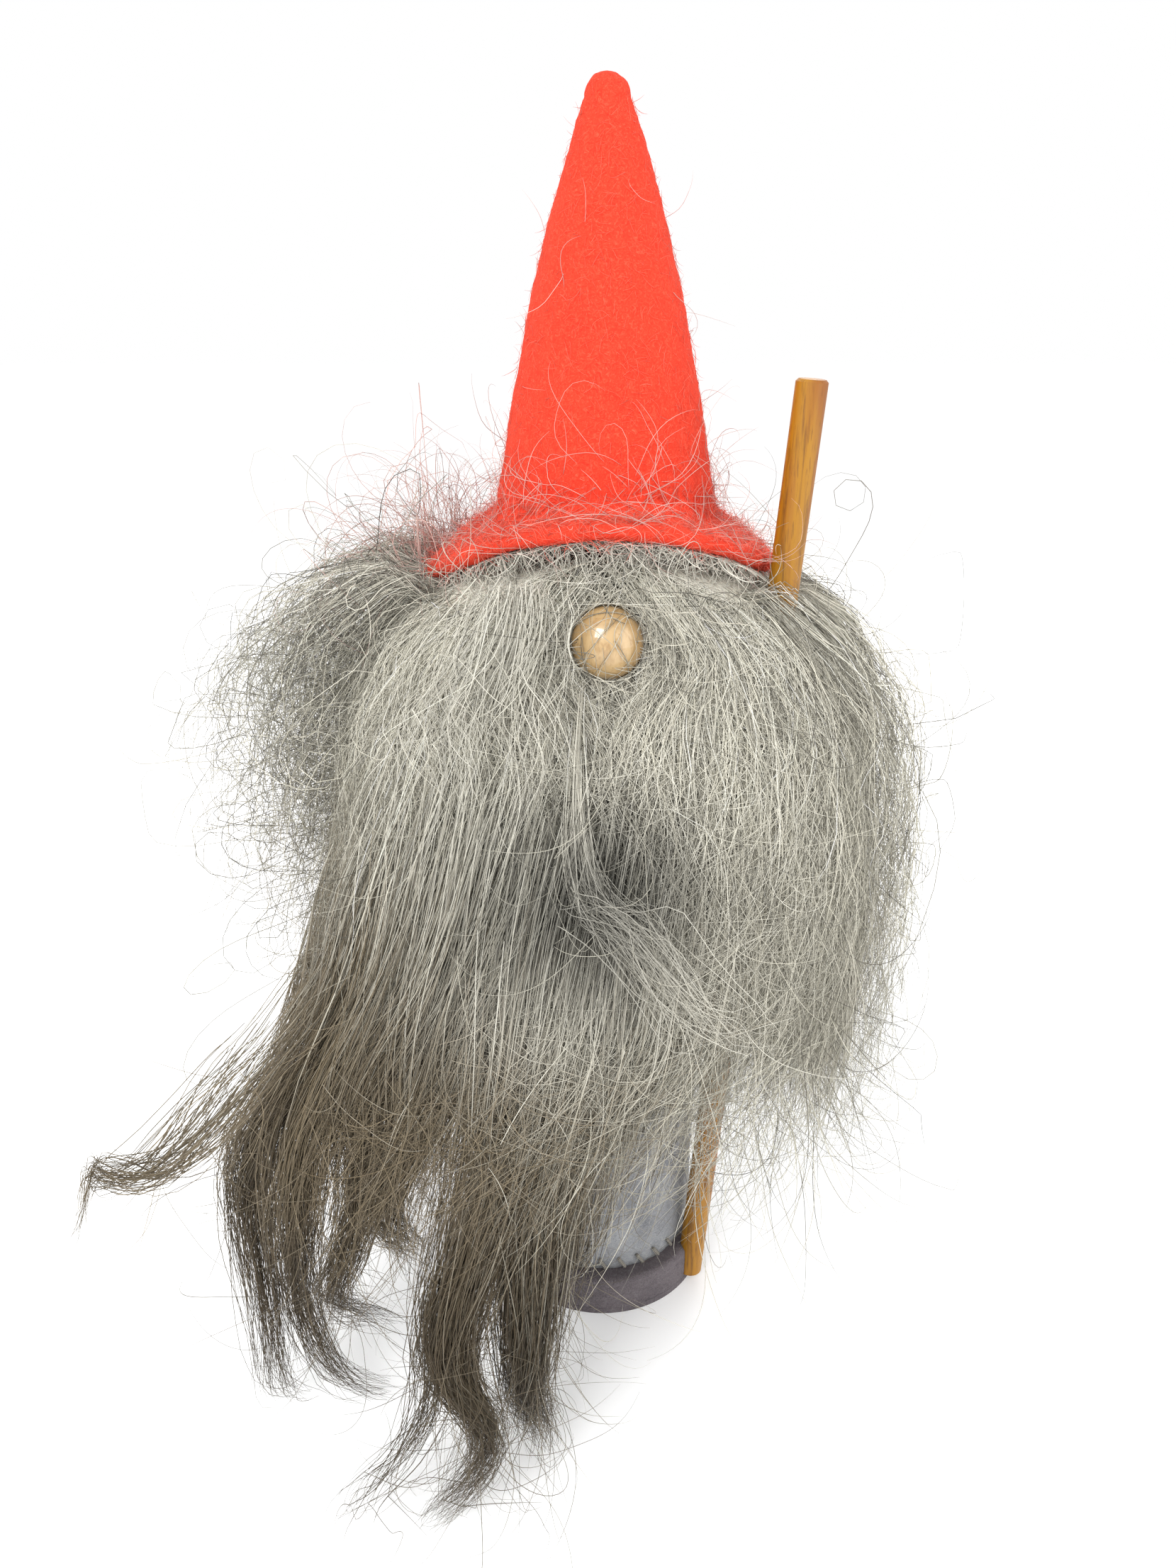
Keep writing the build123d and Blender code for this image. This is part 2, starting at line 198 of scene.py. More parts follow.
# =====================================================================================
# Materials
# =====================================================================================
class Nodes:
    """Short calls for building one material's node tree."""

    def __init__(self, name):
        self.material = bpy.data.materials.new(name)
        self.material.use_nodes = True
        self.tree = self.material.node_tree
        self.shader = self.tree.nodes["Principled BSDF"]
        self.place = self.add("ShaderNodeTexCoord").outputs["Object"]

    def add(self, kind, **inputs):
        node = self.tree.nodes.new(kind)
        for key, value in inputs.items():
            self.set(node, key.replace("_", " "), value)
        return node

    def set(self, node, key, value):
        """Link an output, or store a plain value."""
        if isinstance(value, bpy.types.NodeSocket):
            self.tree.links.new(value, node.inputs[key])
        else:
            node.inputs[key].default_value = value

    def stretched(self, x, y, z):
        """Object coordinates scaled along each axis, in repeats per metre."""
        node = self.add("ShaderNodeMapping", Vector=self.place)
        node.inputs["Scale"].default_value = (x, y, z)
        return node.outputs["Vector"]

    def noise(self, vector, scale=1.0, detail=4.0, roughness=0.55, distortion=0.0):
        node = self.add("ShaderNodeTexNoise", Vector=vector, Scale=scale, Detail=detail, Roughness=roughness)
        node.inputs["Distortion"].default_value = distortion
        return node.outputs["Fac"]

    def ramp(self, factor, *stops):
        """A colour ramp: stops are (position, linear colour)."""
        node = self.add("ShaderNodeValToRGB", Fac=factor)
        elements = node.color_ramp.elements
        while len(elements) < len(stops):
            elements.new(0.5)
        for element, (position, colour) in zip(elements, stops):
            element.position = position
            element.color = (*colour, 1.0)
        return node.outputs["Color"]

    def level(self, factor, low, high):
        """A factor from 0 to 1 moved to the range low to high."""
        node = self.add("ShaderNodeMapRange", Value=factor)
        node.inputs["To Min"].default_value = low
        node.inputs["To Max"].default_value = high
        return node.outputs["Result"]

    def mix(self, factor, a, b, blend="MIX"):
        node = self.tree.nodes.new("ShaderNodeMix")
        node.data_type = "RGBA"
        node.blend_type = blend
        for socket, value in ((node.inputs[0], factor), (node.inputs[6], a), (node.inputs[7], b)):
            if isinstance(value, bpy.types.NodeSocket):
                self.tree.links.new(value, socket)
            else:
                socket.default_value = value if isinstance(value, float) else (*value, 1.0)
        return node.outputs[2]

    def bump(self, height, distance, strength=1.0, normal=None):
        """Relief of the given depth in metres."""
        node = self.add("ShaderNodeBump", Height=height, Distance=distance, Strength=strength)
        if normal is not None:
            self.set(node, "Normal", normal)
        return node.outputs["Normal"]

    def finish(self, **inputs):
        for key, value in inputs.items():
            self.set(self.shader, key.replace("_", " "), value)
        return self.material


def felt_material(name, base, dark, light, sheen, mottle=0.25):
    """Pressed wool felt: tangled fibres at two scales over slow shifts in tone."""
    n = Nodes(name)
    slow = n.noise(n.place, 90, detail=3)
    tangle = n.noise(n.place, 1300, detail=6, roughness=0.7, distortion=2.2)
    fibre = n.noise(n.stretched(900, 2600, 700), 1.0, detail=5, roughness=0.7, distortion=1.4)
    tone = n.ramp(tangle, (0.3, dark), (0.52, base), (0.75, light))
    patches = n.ramp(slow, (0.35, dark), (0.65, base))
    colour = n.mix(mottle, tone, patches)
    normal = n.bump(tangle, 0.00035, 0.8)
    normal = n.bump(fibre, 0.0002, 0.6, normal)
    return n.finish(Base_Color=colour, Roughness=n.level(fibre, 0.82, 1.0), Normal=normal, Sheen_Weight=sheen,
                    Sheen_Roughness=0.5, Sheen_Tint=(*light, 1.0), Specular_IOR_Level=0.15)


def wood_material(name, pale, dark, streak, along=(0, 0, 1), gloss=0.0, rough=0.45):
    """Wood with grain stretched along one axis, pores and slow colour shifts."""
    n = Nodes(name)
    scale = [1100 - 1020 * a for a in along]
    grain = n.noise(n.stretched(*scale), 1.0, detail=6, roughness=0.65, distortion=0.6)
    slow = n.noise(n.stretched(*[s / 5 for s in scale]), 1.0, detail=3)
    pores = n.noise(n.stretched(*[3.2 * s for s in scale]), 1.0, detail=2)
    colour = n.ramp(grain, (0.3, dark), (0.5, pale), (0.72, pale))
    colour = n.mix(n.ramp(slow, (0.48, (0, 0, 0)), (0.62, (1, 1, 1))), colour, streak)
    colour = n.mix(n.ramp(pores, (0.62, (0, 0, 0)), (0.7, (0.6, 0.6, 0.6))), colour, dark)
    normal = n.bump(grain, 0.00008, 0.5)
    return n.finish(Base_Color=colour, Roughness=n.level(pores, rough - 0.08, rough + 0.12), Normal=normal,
                    Coat_Weight=gloss, Coat_Roughness=0.06)


def wool_material(name):
    """Strands that take their tone from the mesh, with flecks along them and a soft shine."""
    n = Nodes(name)
    tone = n.add("ShaderNodeAttribute")
    tone.attribute_name = "tone"
    flecks = n.noise(n.place, 700, detail=3)
    colour = n.mix(n.level(flecks, 0.0, 0.45), tone.outputs["Color"], (0.30, 0.28, 0.24), "MULTIPLY")
    return n.finish(Base_Color=colour, Roughness=n.level(flecks, 0.45, 0.65), Specular_IOR_Level=0.25,
                    Sheen_Weight=0.05)


def wadding_material(name):
    """Loose carded wool."""
    n = Nodes(name)
    tufts = n.noise(n.place, 260, detail=8, roughness=0.75, distortion=1.5)
    colour = n.ramp(tufts, (0.3, srgb(176, 170, 156)), (0.6, srgb(232, 229, 219)))
    return n.finish(Base_Color=colour, Roughness=n.level(tufts, 0.9, 1.0), Normal=n.bump(tufts, 0.0012),
                    Sheen_Weight=0.4)


def hide_material(name):
    """Suede backing of the pelts."""
    n = Nodes(name)
    nap = n.noise(n.place, 1600, detail=6, roughness=0.7)
    slow = n.noise(n.place, 120, detail=3)
    colour = n.ramp(nap, (0.3, srgb(142, 118, 90)), (0.7, srgb(196, 172, 140)))
    colour = n.mix(n.level(slow, 0.0, 0.6), colour, srgb(158, 132, 100))
    return n.finish(Base_Color=colour, Roughness=n.level(nap, 0.8, 0.98), Normal=n.bump(nap, 0.0002))


def card_material(name):
    """Greyboard with flecks of fibre."""
    n = Nodes(name)
    flecks = n.noise(n.place, 2200, detail=5, roughness=0.8)
    slow = n.noise(n.stretched(200, 200, 60), 1.0, detail=3)
    colour = n.ramp(flecks, (0.35, srgb(120, 98, 72)), (0.65, srgb(178, 152, 118)))
    colour = n.mix(n.level(slow, 0.0, 0.5), colour, srgb(150, 124, 92))
    return n.finish(Base_Color=colour, Roughness=n.level(flecks, 0.78, 0.95), Normal=n.bump(flecks, 0.0001))


def steel_material(name):
    """Zinc-plated steel with fine turning marks and dull spots."""
    n = Nodes(name)
    marks = n.noise(n.stretched(400, 400, 5200), 1.0, detail=4)
    spots = n.noise(n.place, 300, detail=4)
    colour = n.ramp(spots, (0.3, srgb(150, 152, 154)), (0.7, srgb(202, 204, 205)))
    return n.finish(Base_Color=colour, Metallic=1.0, Roughness=n.level(marks, 0.25, 0.5),
                    Normal=n.bump(marks, 0.00004, 0.5))


def thread_material(name):
    """Twisted cotton thread."""
    n = Nodes(name)
    twist = n.add("ShaderNodeTexWave", Vector=n.stretched(1, 1, 1), Scale=1500.0, Distortion=1.0)
    twist.bands_direction = "DIAGONAL"
    fuzz = n.noise(n.place, 3000, detail=3)
    colour = n.ramp(twist.outputs["Fac"], (0.2, srgb(92, 88, 82)), (0.8, srgb(168, 163, 152)))
    colour = n.mix(n.level(fuzz, 0.0, 0.5), colour, srgb(120, 116, 108))
    return n.finish(Base_Color=colour, Roughness=n.level(fuzz, 0.75, 0.95),
                    Normal=n.bump(twist.outputs["Fac"], 0.0001))


# =====================================================================================
# Mesh helpers
# =====================================================================================
def new_object(name, vertices, quads, triangles, material):
    """A smooth-shaded mesh from arrays in millimetres."""
    mesh = bpy.data.meshes.new(name)
    mesh.vertices.add(len(vertices))
    mesh.vertices.foreach_set("co", (np.asarray(vertices) * MM).astype(np.float32).ravel())
    loops = np.concatenate([np.asarray(quads, np.int32).ravel(), np.asarray(triangles, np.int32).ravel()])
    mesh.loops.add(len(loops))
    mesh.loops.foreach_set("vertex_index", loops)
    starts = np.concatenate([np.arange(len(quads)) * 4, 4 * len(quads) + np.arange(len(triangles)) * 3])
    mesh.polygons.add(len(starts))
    mesh.polygons.foreach_set("loop_start", starts.astype(np.int32))
    mesh.polygons.foreach_set("use_smooth", np.ones(len(starts), bool))
    mesh.update(calc_edges=True)
    mesh.materials.append(material)
    piece = bpy.data.objects.new(name, mesh)
    bpy.context.scene.collection.objects.link(piece)
    return piece


def unit(vectors):
    return vectors / np.maximum(np.linalg.norm(vectors, axis=-1, keepdims=True), 1e-9)


def smooth(t):
    """An even ramp from 0 to 1 that starts and ends level."""
    t = np.clip(t, 0, 1)
    return t * t * (3 - 2 * t)


def between(value, start, end):
    """A smooth ramp that is 0 at the start and 1 at the end."""
    return smooth((value - start) / (end - start))


def rough(points, size, depth, octaves=3):
    """Noise of the given depth at points, where size is its coarsest feature, in millimetres."""
    flat = np.asarray(points).reshape(-1, 3) / size
    values = np.array([noise.fractal(p, 1.0, 2.1, octaves) for p in flat])
    return depth * values.reshape(points.shape[:-1])


def strand_object(name, paths, thickness, tones, material):
    """Closed three-sided tapering strands, from paths and tones (strand, point, 3) and a thickness for each.

    Each strand gets its own cell of the map named OFBake, so its tone survives export.
    """
    count, steps, _ = paths.shape
    along = unit(np.gradient(paths, axis=1))
    reference = unit(np.random.default_rng(len(name)).normal(size=(count, 1, 3)))
    side = unit(np.cross(along, reference))
    up = np.cross(along, side)
    taper = np.interp(np.linspace(0, 1, steps), [0, 0.1, 0.6, 1], [0.8, 1.0, 0.9, 0.25])
    radius = (thickness[:, None] * taper / 2)[:, :, None, None]
    turns = (np.arange(3) * TAU / 3)[None, None, :, None]
    rings = paths[:, :, None] + radius * (np.cos(turns) * side[:, :, None] + np.sin(turns) * up[:, :, None])
    first = (np.arange(count)[:, None, None] * steps + np.arange(steps - 1)[None, :, None]) * 3
    corner = np.arange(3)[None, None, :]
    following = (corner + 1) % 3
    quads = np.stack([first + corner, first + following, first + 3 + following, first + 3 + corner], -1)
    root = np.arange(count)[:, None] * steps * 3
    tip = root + (steps - 1) * 3
    triangles = np.concatenate([root + [0, 2, 1], tip + [0, 1, 2]])
    piece = new_object(name, rings.reshape(-1, 3), quads.reshape(-1, 4), triangles, material)
    shade = piece.data.color_attributes.new("tone", "FLOAT_COLOR", "POINT")
    rgba = np.ones((count, steps, 3, 4), np.float32)
    rgba[..., :3] = tones[:, :, None]
    shade.data.foreach_set("color", rgba.ravel())
    bake_cells(piece.data, count, steps)
    return piece


def bake_cells(mesh, count, steps):
    """One upright cell of the map for each strand."""
    columns = int(np.ceil(np.sqrt(count * 3)))
    rows = int(np.ceil(count / columns))
    cell = np.stack([np.arange(count) % columns, np.arange(count) // columns], -1)
    size = np.array([1 / columns, 1 / rows])
    corner = np.array([(0, 0), (1, 0), (1, 1), (0, 1)], float)
    side = np.arange(3)[None, None, :, None]
    step = np.arange(steps - 1)[None, :, None, None]
    u = (side + corner[:, 0]) / 3 * 0.8 + 0.1
    v = (step + corner[:, 1]) / (steps - 1) * 0.9 + 0.05
    u = np.broadcast_to(u, (1, steps - 1, 3, 4))
    v = np.broadcast_to(v, (1, steps - 1, 3, 4))
    body = (np.stack([u, v], -1) + cell[:, None, None, None]) * size
    caps = np.array([(0.1, 0.02), (0.9, 0.02), (0.5, 0.05), (0.1, 0.98), (0.9, 0.98), (0.5, 0.95)])
    ends = (caps[None] + cell[:, None]) * size
    ends = np.concatenate([ends[:, :3].reshape(-1, 2), ends[:, 3:].reshape(-1, 2)])
    layer = mesh.uv_layers.new(name="OFBake")
    layer.data.foreach_set("uv", np.concatenate([body.reshape(-1, 2), ends]).astype(np.float32).ravel())


def ring_quads(rows, next_rows, around):
    """Quads between pairs of rings, each given by the index of its first point."""
    here = np.arange(around)[None]
    there = (here + 1) % around
    rows = rows[:, None]
    next_rows = next_rows[:, None]
    return np.stack([rows + here, next_rows + here, next_rows + there, rows + there], -1).reshape(-1, 4)


def turned_object(name, rings, material):
    """A closed skin from rings of points (ring, around, 3). The first and last rings become single points."""
    count, around, _ = rings.shape
    inner = rings[1:-1].reshape(-1, 3)
    poles = np.array([rings[0].mean(0), rings[-1].mean(0)])
    vertices = np.concatenate([inner, poles])
    rows = np.arange(count - 3) * around
    quads = ring_quads(rows, rows + around, around)
    first_pole = len(inner)
    last_row = (count - 3) * around
    here = np.arange(around)
    there = (here + 1) % around
    top = np.stack([np.full(around, first_pole), here, there], -1)
    bottom = np.stack([last_row + there, last_row + here, np.full(around, first_pole + 1)], -1)
    return new_object(name, vertices, quads, np.concatenate([top, bottom]), material)


def revolved(outline, around):
    """Rings of points from an outline of (radius, height) pairs."""
    outline = np.asarray(outline, float)
    turn = np.arange(around) / around * TAU
    x = outline[:, :1] * np.cos(turn)
    y = outline[:, :1] * np.sin(turn)
    z = np.repeat(outline[:, 1:2], around, axis=1)
    return np.stack([x, y, z], -1)


def line(start, end, count):
    """Evenly spaced points from start towards end, without the end."""
    share = np.arange(count)[:, None] / count
    return np.asarray(start, float) + (np.asarray(end, float) - np.asarray(start, float)) * share


def placed(piece, body, slot, *replaced):
    """A piece that rides on a body, with the CAD nodes it stands for hidden. Its slot is not used."""
    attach(piece, body)
    if replaced:
        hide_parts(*replaced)


# =====================================================================================
# Hat
# =====================================================================================
def hat_radius(z):
    """The cone's outer radius at a height: one smooth curve through its sides."""
    heights, radii = zip(*HAT_SIDES)
    return np.polyval(np.polyfit(heights, radii, 3), z)


def brim_height(x, thickness):
    """Height of the brim's arch over its drooping sides: its underside has no thickness."""
    reach = BRIM_ARCH_RADIUS + thickness
    return BRIM_CREST_Z - BRIM_ARCH_RADIUS + np.sqrt(reach**2 - x**2)


def hat_rings(around=400):
    """The felt hat's skin from its tip, down the outside, round the brim and up the inside."""
    turn = np.arange(around) / around * TAU
    c = np.cos(turn)
    brim = BRIM_RADIUS - 0.35 + 0.15 * np.sin(3 * turn + 1.0) + 0.1 * np.sin(7 * turn)
    brim = brim + BRIM_PULL * np.maximum(-c, 0) ** 8
    rows = []

    def add(radius, height):
        radius = np.broadcast_to(radius, around)
        rows.append(np.stack([radius * c, radius * np.sin(turn), np.broadcast_to(height, around)], -1))

    tip_z = TIP_Z - HAT_TIP_RADIUS
    for a in np.linspace(0, np.pi / 2, 16)[:-1]:
        add(HAT_TIP_RADIUS * np.sin(a), tip_z + HAT_TIP_RADIUS * np.cos(a))
    foot = hat_radius(BRIM_CREST_Z)
    join_top = brim_height(foot * c, BRIM_FELT) + BRIM_BEND
    for t in np.linspace(0, 1, 120):
        height = tip_z + (join_top - tip_z) * t
        add(hat_radius(height), height)
    for t in np.linspace(0, 1, 12)[1:]:
        low_radius = foot + BRIM_BEND
        radius = (1 - t) ** 2 * hat_radius(join_top) + 2 * t * (1 - t) * (foot + 0.3) + t**2 * low_radius
        height = (1 - t) ** 2 * join_top + 2 * t * (1 - t) * (join_top - BRIM_BEND + 0.4)
        height = height + t**2 * brim_height(low_radius * c, BRIM_FELT)
        add(radius, height)
    for t in np.linspace(0, 1, 24)[1:]:
        radius = foot + BRIM_BEND + (brim - BRIM_FELT / 2 - foot - BRIM_BEND) * t
        add(radius, brim_height(radius * c, BRIM_FELT))
    for a in np.linspace(0, np.pi, 9)[1:-1]:
        radius = brim - BRIM_FELT / 2 + BRIM_FELT / 2 * np.sin(a)
        middle = brim_height((brim - BRIM_FELT / 2) * c, BRIM_FELT / 2)
        add(radius, middle + BRIM_FELT / 2 * np.cos(a))
    for t in np.linspace(0, 1, 24):
        radius = brim - BRIM_FELT / 2 + (foot - FELT - brim + BRIM_FELT / 2) * t
        add(radius, brim_height(radius * c, 0.0))
    for t in np.linspace(0, 1, 40)[1:]:
        height = brim_height((foot - FELT) * c, 0.0) * (1 - t) + (tip_z - FELT) * t
        add(np.maximum(hat_radius(height) - FELT, 1.0), height)
    add(0.0, tip_z - FELT + 1.0)
    return np.array(rows)


def ring_directions(rings):
    """Steps across and along a skin of rings, and its outward normal."""
    across = np.roll(rings, -1, 1) - np.roll(rings, 1, 1)
    along = np.gradient(rings, axis=0)
    return across, along, unit(np.cross(along, across))


def felt_relief(rings, slow, fine, size=11.0):
    """Rings pushed along their own normals by soft dents and by pilling."""
    normal = ring_directions(rings)[2]
    push = rough(rings, size, slow, 2) + rough(rings, 1.3, fine, 3)
    push[0] = push[-1] = 0
    return rings + normal * push[..., None]


def make_hat(material):
    rings = felt_relief(hat_rings(), 0.28, 0.13)
    hat = turned_object("hat_pressed_felt", rings, material)
    placed(hat, "hat", "felt_red", "hat_felt")


# =====================================================================================
# Wool
# =====================================================================================
def level_ring(bearing, wide, deep):
    """A point on a level ellipse at a bearing from the front, positive towards the staff."""
    return np.sin(bearing) * wide, -np.cos(bearing) * deep


def wool_size(z, share):
    """The wool's half width and half depth at a height, as a share of the whole."""
    return np.interp(z, WOOL_Z, WOOL_WIDE) * share, np.interp(z, WOOL_Z, WOOL_DEEP) * share


def brim_ceiling(x, y):
    """The highest the wool may stand under the brim, with room for the hat to turn, rising outside it."""
    radius = np.hypot(x, y)
    bearing = np.degrees(np.arctan2(x, -y))
    off_front = np.minimum(np.abs(bearing), 180 - np.abs(bearing))
    reach = np.sin(np.radians(np.minimum(off_front + HAT_TURN, 90)))
    brim = BRIM_RADIUS + np.where(x < 0, 0.9 * BRIM_PULL, 0.0)
    under = brim_height(np.minimum(radius, brim) * reach, 0.0)
    return under - CEILING_GAP + CEILING_SLOPE * np.maximum(radius - brim - CEILING_EDGE, 0)


def push_out(points, centre, axis, radius):
    """Points moved out of a long cylinder, or out of a ball when there is no axis."""
    away = points - centre
    if axis is not None:
        away = away - (away @ axis)[..., None] * axis
    distance = np.linalg.norm(away, axis=-1, keepdims=True)
    return points + away / np.maximum(distance, 1e-6) * np.maximum(radius - distance, 0)


def kept_clear(points, free=False):
    """Strand points moved clear of the body, base, staff, nose, brim and floor.

    Free hairs pass outside the brim and may stand above it. Other wool stays below it.
    """
    upright = np.array([0.0, 0.0, 1.0])
    body = push_out(points, np.zeros(3), upright, BODY_RADIUS + BODY_ROOM)
    below_pelt = points[..., 2:3] < PELT_BOTTOM - 4
    points = np.where(below_pelt, body, points)
    base = push_out(points, np.zeros(3), upright, COVER_RADIUS + BASE_ROOM)
    points = np.where(points[..., 2:3] < COVER_TOP + 0.7, base, points)
    points = push_out(points, STAFF_MID, STAFF_AXIS, STAFF_RADIUS + STAFF_ROOM)
    if free:
        points = push_out(points, NOSE, None, NOSE_RADIUS + NOSE_ROOM)
    else:
        beside_nose = push_out(points, NOSE, NOSE_SIGHT, NOSE_RADIUS)
        points = np.where(points[..., 1:2] < 0, beside_nose, points)
    ceiling = brim_ceiling(points[..., 0], points[..., 1])
    if free:
        outside = push_out(points, np.zeros(3), upright, BRIM_RADIUS + BRIM_ROOM)
        points = np.where((points[..., 2] > ceiling - 2.0)[..., None], outside, points)
    else:
        points[..., 2] = np.minimum(points[..., 2], ceiling)
    points[..., 2] = np.maximum(points[..., 2], FLOOR_ROOM)
    return np.clip(points, np.array(cad_low) / MM - PAST_CAD, np.array(cad_high) / MM + PAST_CAD)


def parted(bearing, z):
    """Bearings moved aside where the wool passes the nose."""
    beside = np.exp(-(((z - NOSE[2]) / 8) ** 2))
    gap = PARTING * np.exp(-((bearing / radians(28)) ** 2))
    return bearing + np.where(bearing < 0, -1, 1) * gap * beside


def sunk_by(hollow, x, z):
    """How far a point of the front lies inside a hollow, from 0 to 1."""
    middle_x, middle_z, half_wide, half_high, _ = hollow
    return np.exp(-(((x - middle_x) / half_wide) ** 2) - ((z - middle_z) / half_high) ** 2)


def fall(bearing, drift, share, root_z, tip_z, steps):
    """Paths of wool that springs from the pelt, fans out, bends over and hangs to tip_z, drifting."""
    t = np.linspace(0, 1, steps)[None]
    ahead = np.cos(bearing)[:, None]
    fan = 1 - 0.45 * (1 - smooth(t / 0.42)) * np.clip(ahead, 0, 1)
    bearing = bearing[:, None] * fan + drift[:, None] * t
    spring = 7.0 * np.sin(np.pi * np.clip(t / 0.2, 0, 1)) * np.abs(ahead) ** 0.7
    z = root_z[:, None] + (tip_z - root_z)[:, None] * t**1.35 + spring
    bearing = parted(bearing, z)
    out = 1 - (1 - np.clip(t / 0.18, 0, 1)) ** 2
    share = share[:, None]
    front_x = np.sin(bearing) * FRONT_HALF_WIDE
    sunk = 1 - sum(h[4] * sunk_by(h, front_x, z) for h in (NOSE_SEAT, HOLLOW)) * (np.cos(bearing) > 0)
    wide, deep = wool_size(z, share)
    wide = PELT_RADIUS + np.maximum(wide - PELT_RADIUS, 0) * out
    deep = PELT_RADIUS + np.maximum(deep * sunk - PELT_RADIUS, 0) * out
    return swept(bearing, *level_ring(bearing, wide, deep), z)


def swept(bearing, x, y, z):
    """Points of the wool carried along by its sweep to the figure's right, which grows towards the floor."""
    share = smooth((SWEEP_FROM - z) / SWEEP_FROM)
    share = share * (1 - 0.9 * between(np.degrees(bearing), *SWEEP_FADES))
    share = share * between(np.degrees(bearing), *SWEEP_GROWS)
    return np.stack([x + SWEEP[0] * share, y + SWEEP[1] * share, z], -1)


def tangle(rng, count, bearings, heights, lengths, share, lean, steps=12):
    """Short hairs lying over the wool at all angles. Lean is their spread about straight down, in radians."""
    t = np.linspace(0, 1, steps)[None]
    length = rng.uniform(*lengths, (count, 1))
    angle = rng.normal(0, lean, (count, 1)) + rng.normal(0, 0.05, (count, 1)) * length * t
    step = length / (steps - 1)
    across = np.cumsum(np.sin(angle) * step, axis=1)
    down = np.cumsum(np.cos(angle) * step, axis=1)
    bearing = np.radians(rng.uniform(*bearings, (count, 1))) + across / WOOL_WIDE[3]
    z = rng.uniform(*heights, (count, 1)) - down
    share = rng.uniform(*share, (count, 1))
    for sunken in (NOSE_SEAT, HOLLOW):
        share = share * (1 - sunken[4] * sunk_by(sunken, np.sin(bearing) * FRONT_HALF_WIDE, z))
    return swept(bearing, *level_ring(bearing, *wool_size(z, share)), z)


def make_tangle(material):
    """Fine pale and dark hairs crossing over the hanging wool."""
    rng = np.random.default_rng(17)
    for name, count, bearings, heights, lengths, share, lean in (
        ("crossing_hairs", 8600, (-112, 112), (66, 152), (8, 34), (1.0, 1.07), 1.05),
        ("brow_hairs", 1500, (-96, 96), (142, 155), (8, 22), (0.97, 1.05), 1.1),
        ("back_crossing_hairs", 1500, (112, 248), (60, 152), (8, 30), (1.0, 1.05), 0.9),
    ):
        paths = kept_clear(tangle(rng, count, bearings, heights, lengths, share, lean))
        tones = wool_tones(rng, paths, rng.integers(0, 50, count), dark_share=0.3)
        palest = rng.uniform(0, 1, (count, 1, 1)) < 0.45
        paled = 0.8 * smooth((paths[..., 2:3] - 72) / 30) * palest
        tones += (np.array(WOOL_LIGHT) - tones) * paled
        wool_pieces(name, paths, rng.uniform(0.08, 0.14, count), tones, material, "figure")


def waves(rng, count, steps, size, cycles):
    """Soft sideways waves that grow towards the tip."""
    t = np.linspace(0, 1, steps)[None, :, None]
    phase = rng.uniform(0, TAU, (count, 1, 3))
    speed = rng.uniform(0.6, 1.4, (count, 1, 3)) * cycles * TAU
    strength = size * rng.uniform(0.3, 1.0, (count, 1, 3))
    return strength * np.sin(speed * t + phase) * smooth(t / 0.5)


def hang(bearing):
    """How low the wool hangs at a bearing."""
    return np.interp(np.degrees(bearing), HANG_BEARING, HANG_Z)


def wool(rng, count, clumps, bearings, shares, gathering, stray, wave, steps=18, lift=14.0, raised=-4.0):
    """Strands gathered towards clumps: their paths and each strand's clump.

    Shares are of the wool's width. Stray is how far strands turn, in radians. Tips start raised above
    where the wool hangs to and are lifted by a random height.
    """
    low, high = np.radians(bearings)
    clump_bearing = low + (np.arange(clumps) + rng.uniform(0, 1, clumps)) * (high - low) / clumps
    clump_share = rng.uniform(*shares, clumps)
    clump_tip = hang(clump_bearing) + rng.exponential(lift, clumps) + raised
    clump_root = PELT_BOTTOM + (PELT_TOP - PELT_BOTTOM) * rng.uniform(0.2, 1, clumps)
    guide = fall(clump_bearing, rng.normal(0, 0.1, clumps), clump_share, clump_root, clump_tip, steps)
    guide += waves(rng, clumps, steps, 3.2, 1.6)
    bearing = rng.uniform(low, high, count)
    nearest = np.argsort(np.abs(clump_bearing[None] - bearing[:, None]), axis=1)
    member = nearest[np.arange(count), rng.integers(0, 4, count)]
    share = np.clip(rng.uniform(*shares, count) + rng.normal(0, 0.02, count), 0.42, shares[1] + 0.03)
    tip = hang(bearing) + rng.exponential(lift, count) + raised
    up_pelt = np.clip(share * 1.6 - 0.6 + rng.normal(0, 0.1, count), 0, 1)
    root = PELT_BOTTOM + (PELT_TOP - PELT_BOTTOM) * up_pelt
    own = fall(bearing, rng.normal(0, stray, count), share, root, tip, steps)
    own += waves(rng, count, steps, wave, 1.6)
    t = np.linspace(0, 1, steps)[None, :, None]
    pull = gathering * rng.uniform(0.2, 1.3, (count, 1, 1)) * smooth((t - 0.25) / 0.75)
    loose = rng.normal(0, 1.4, (count, 1, 3)) * (1 - 0.4 * t)
    paths = own + (guide[member] + loose - own) * pull
    return paths + waves(rng, count, steps, 0.75, 3.6) + waves(rng, count, steps, 0.22, 6.5), member


# Tones that wool takes on its way down: tone, strength, height where it starts, over what fall, how much
# higher it starts on the swept side, and the place across the front where it starts, over what width.
TONE_STEPS = [
    (WOOL_GREY, 0.3, 128, 50, 0, np.inf, 1),
    (WOOL_BROWN, 0.9, 101, 48, 20, 24, 44),
    (WOOL_UMBER, 0.75, 68, 34, 0, 20, 26),
]
SWEPT_SIDE = 38.0


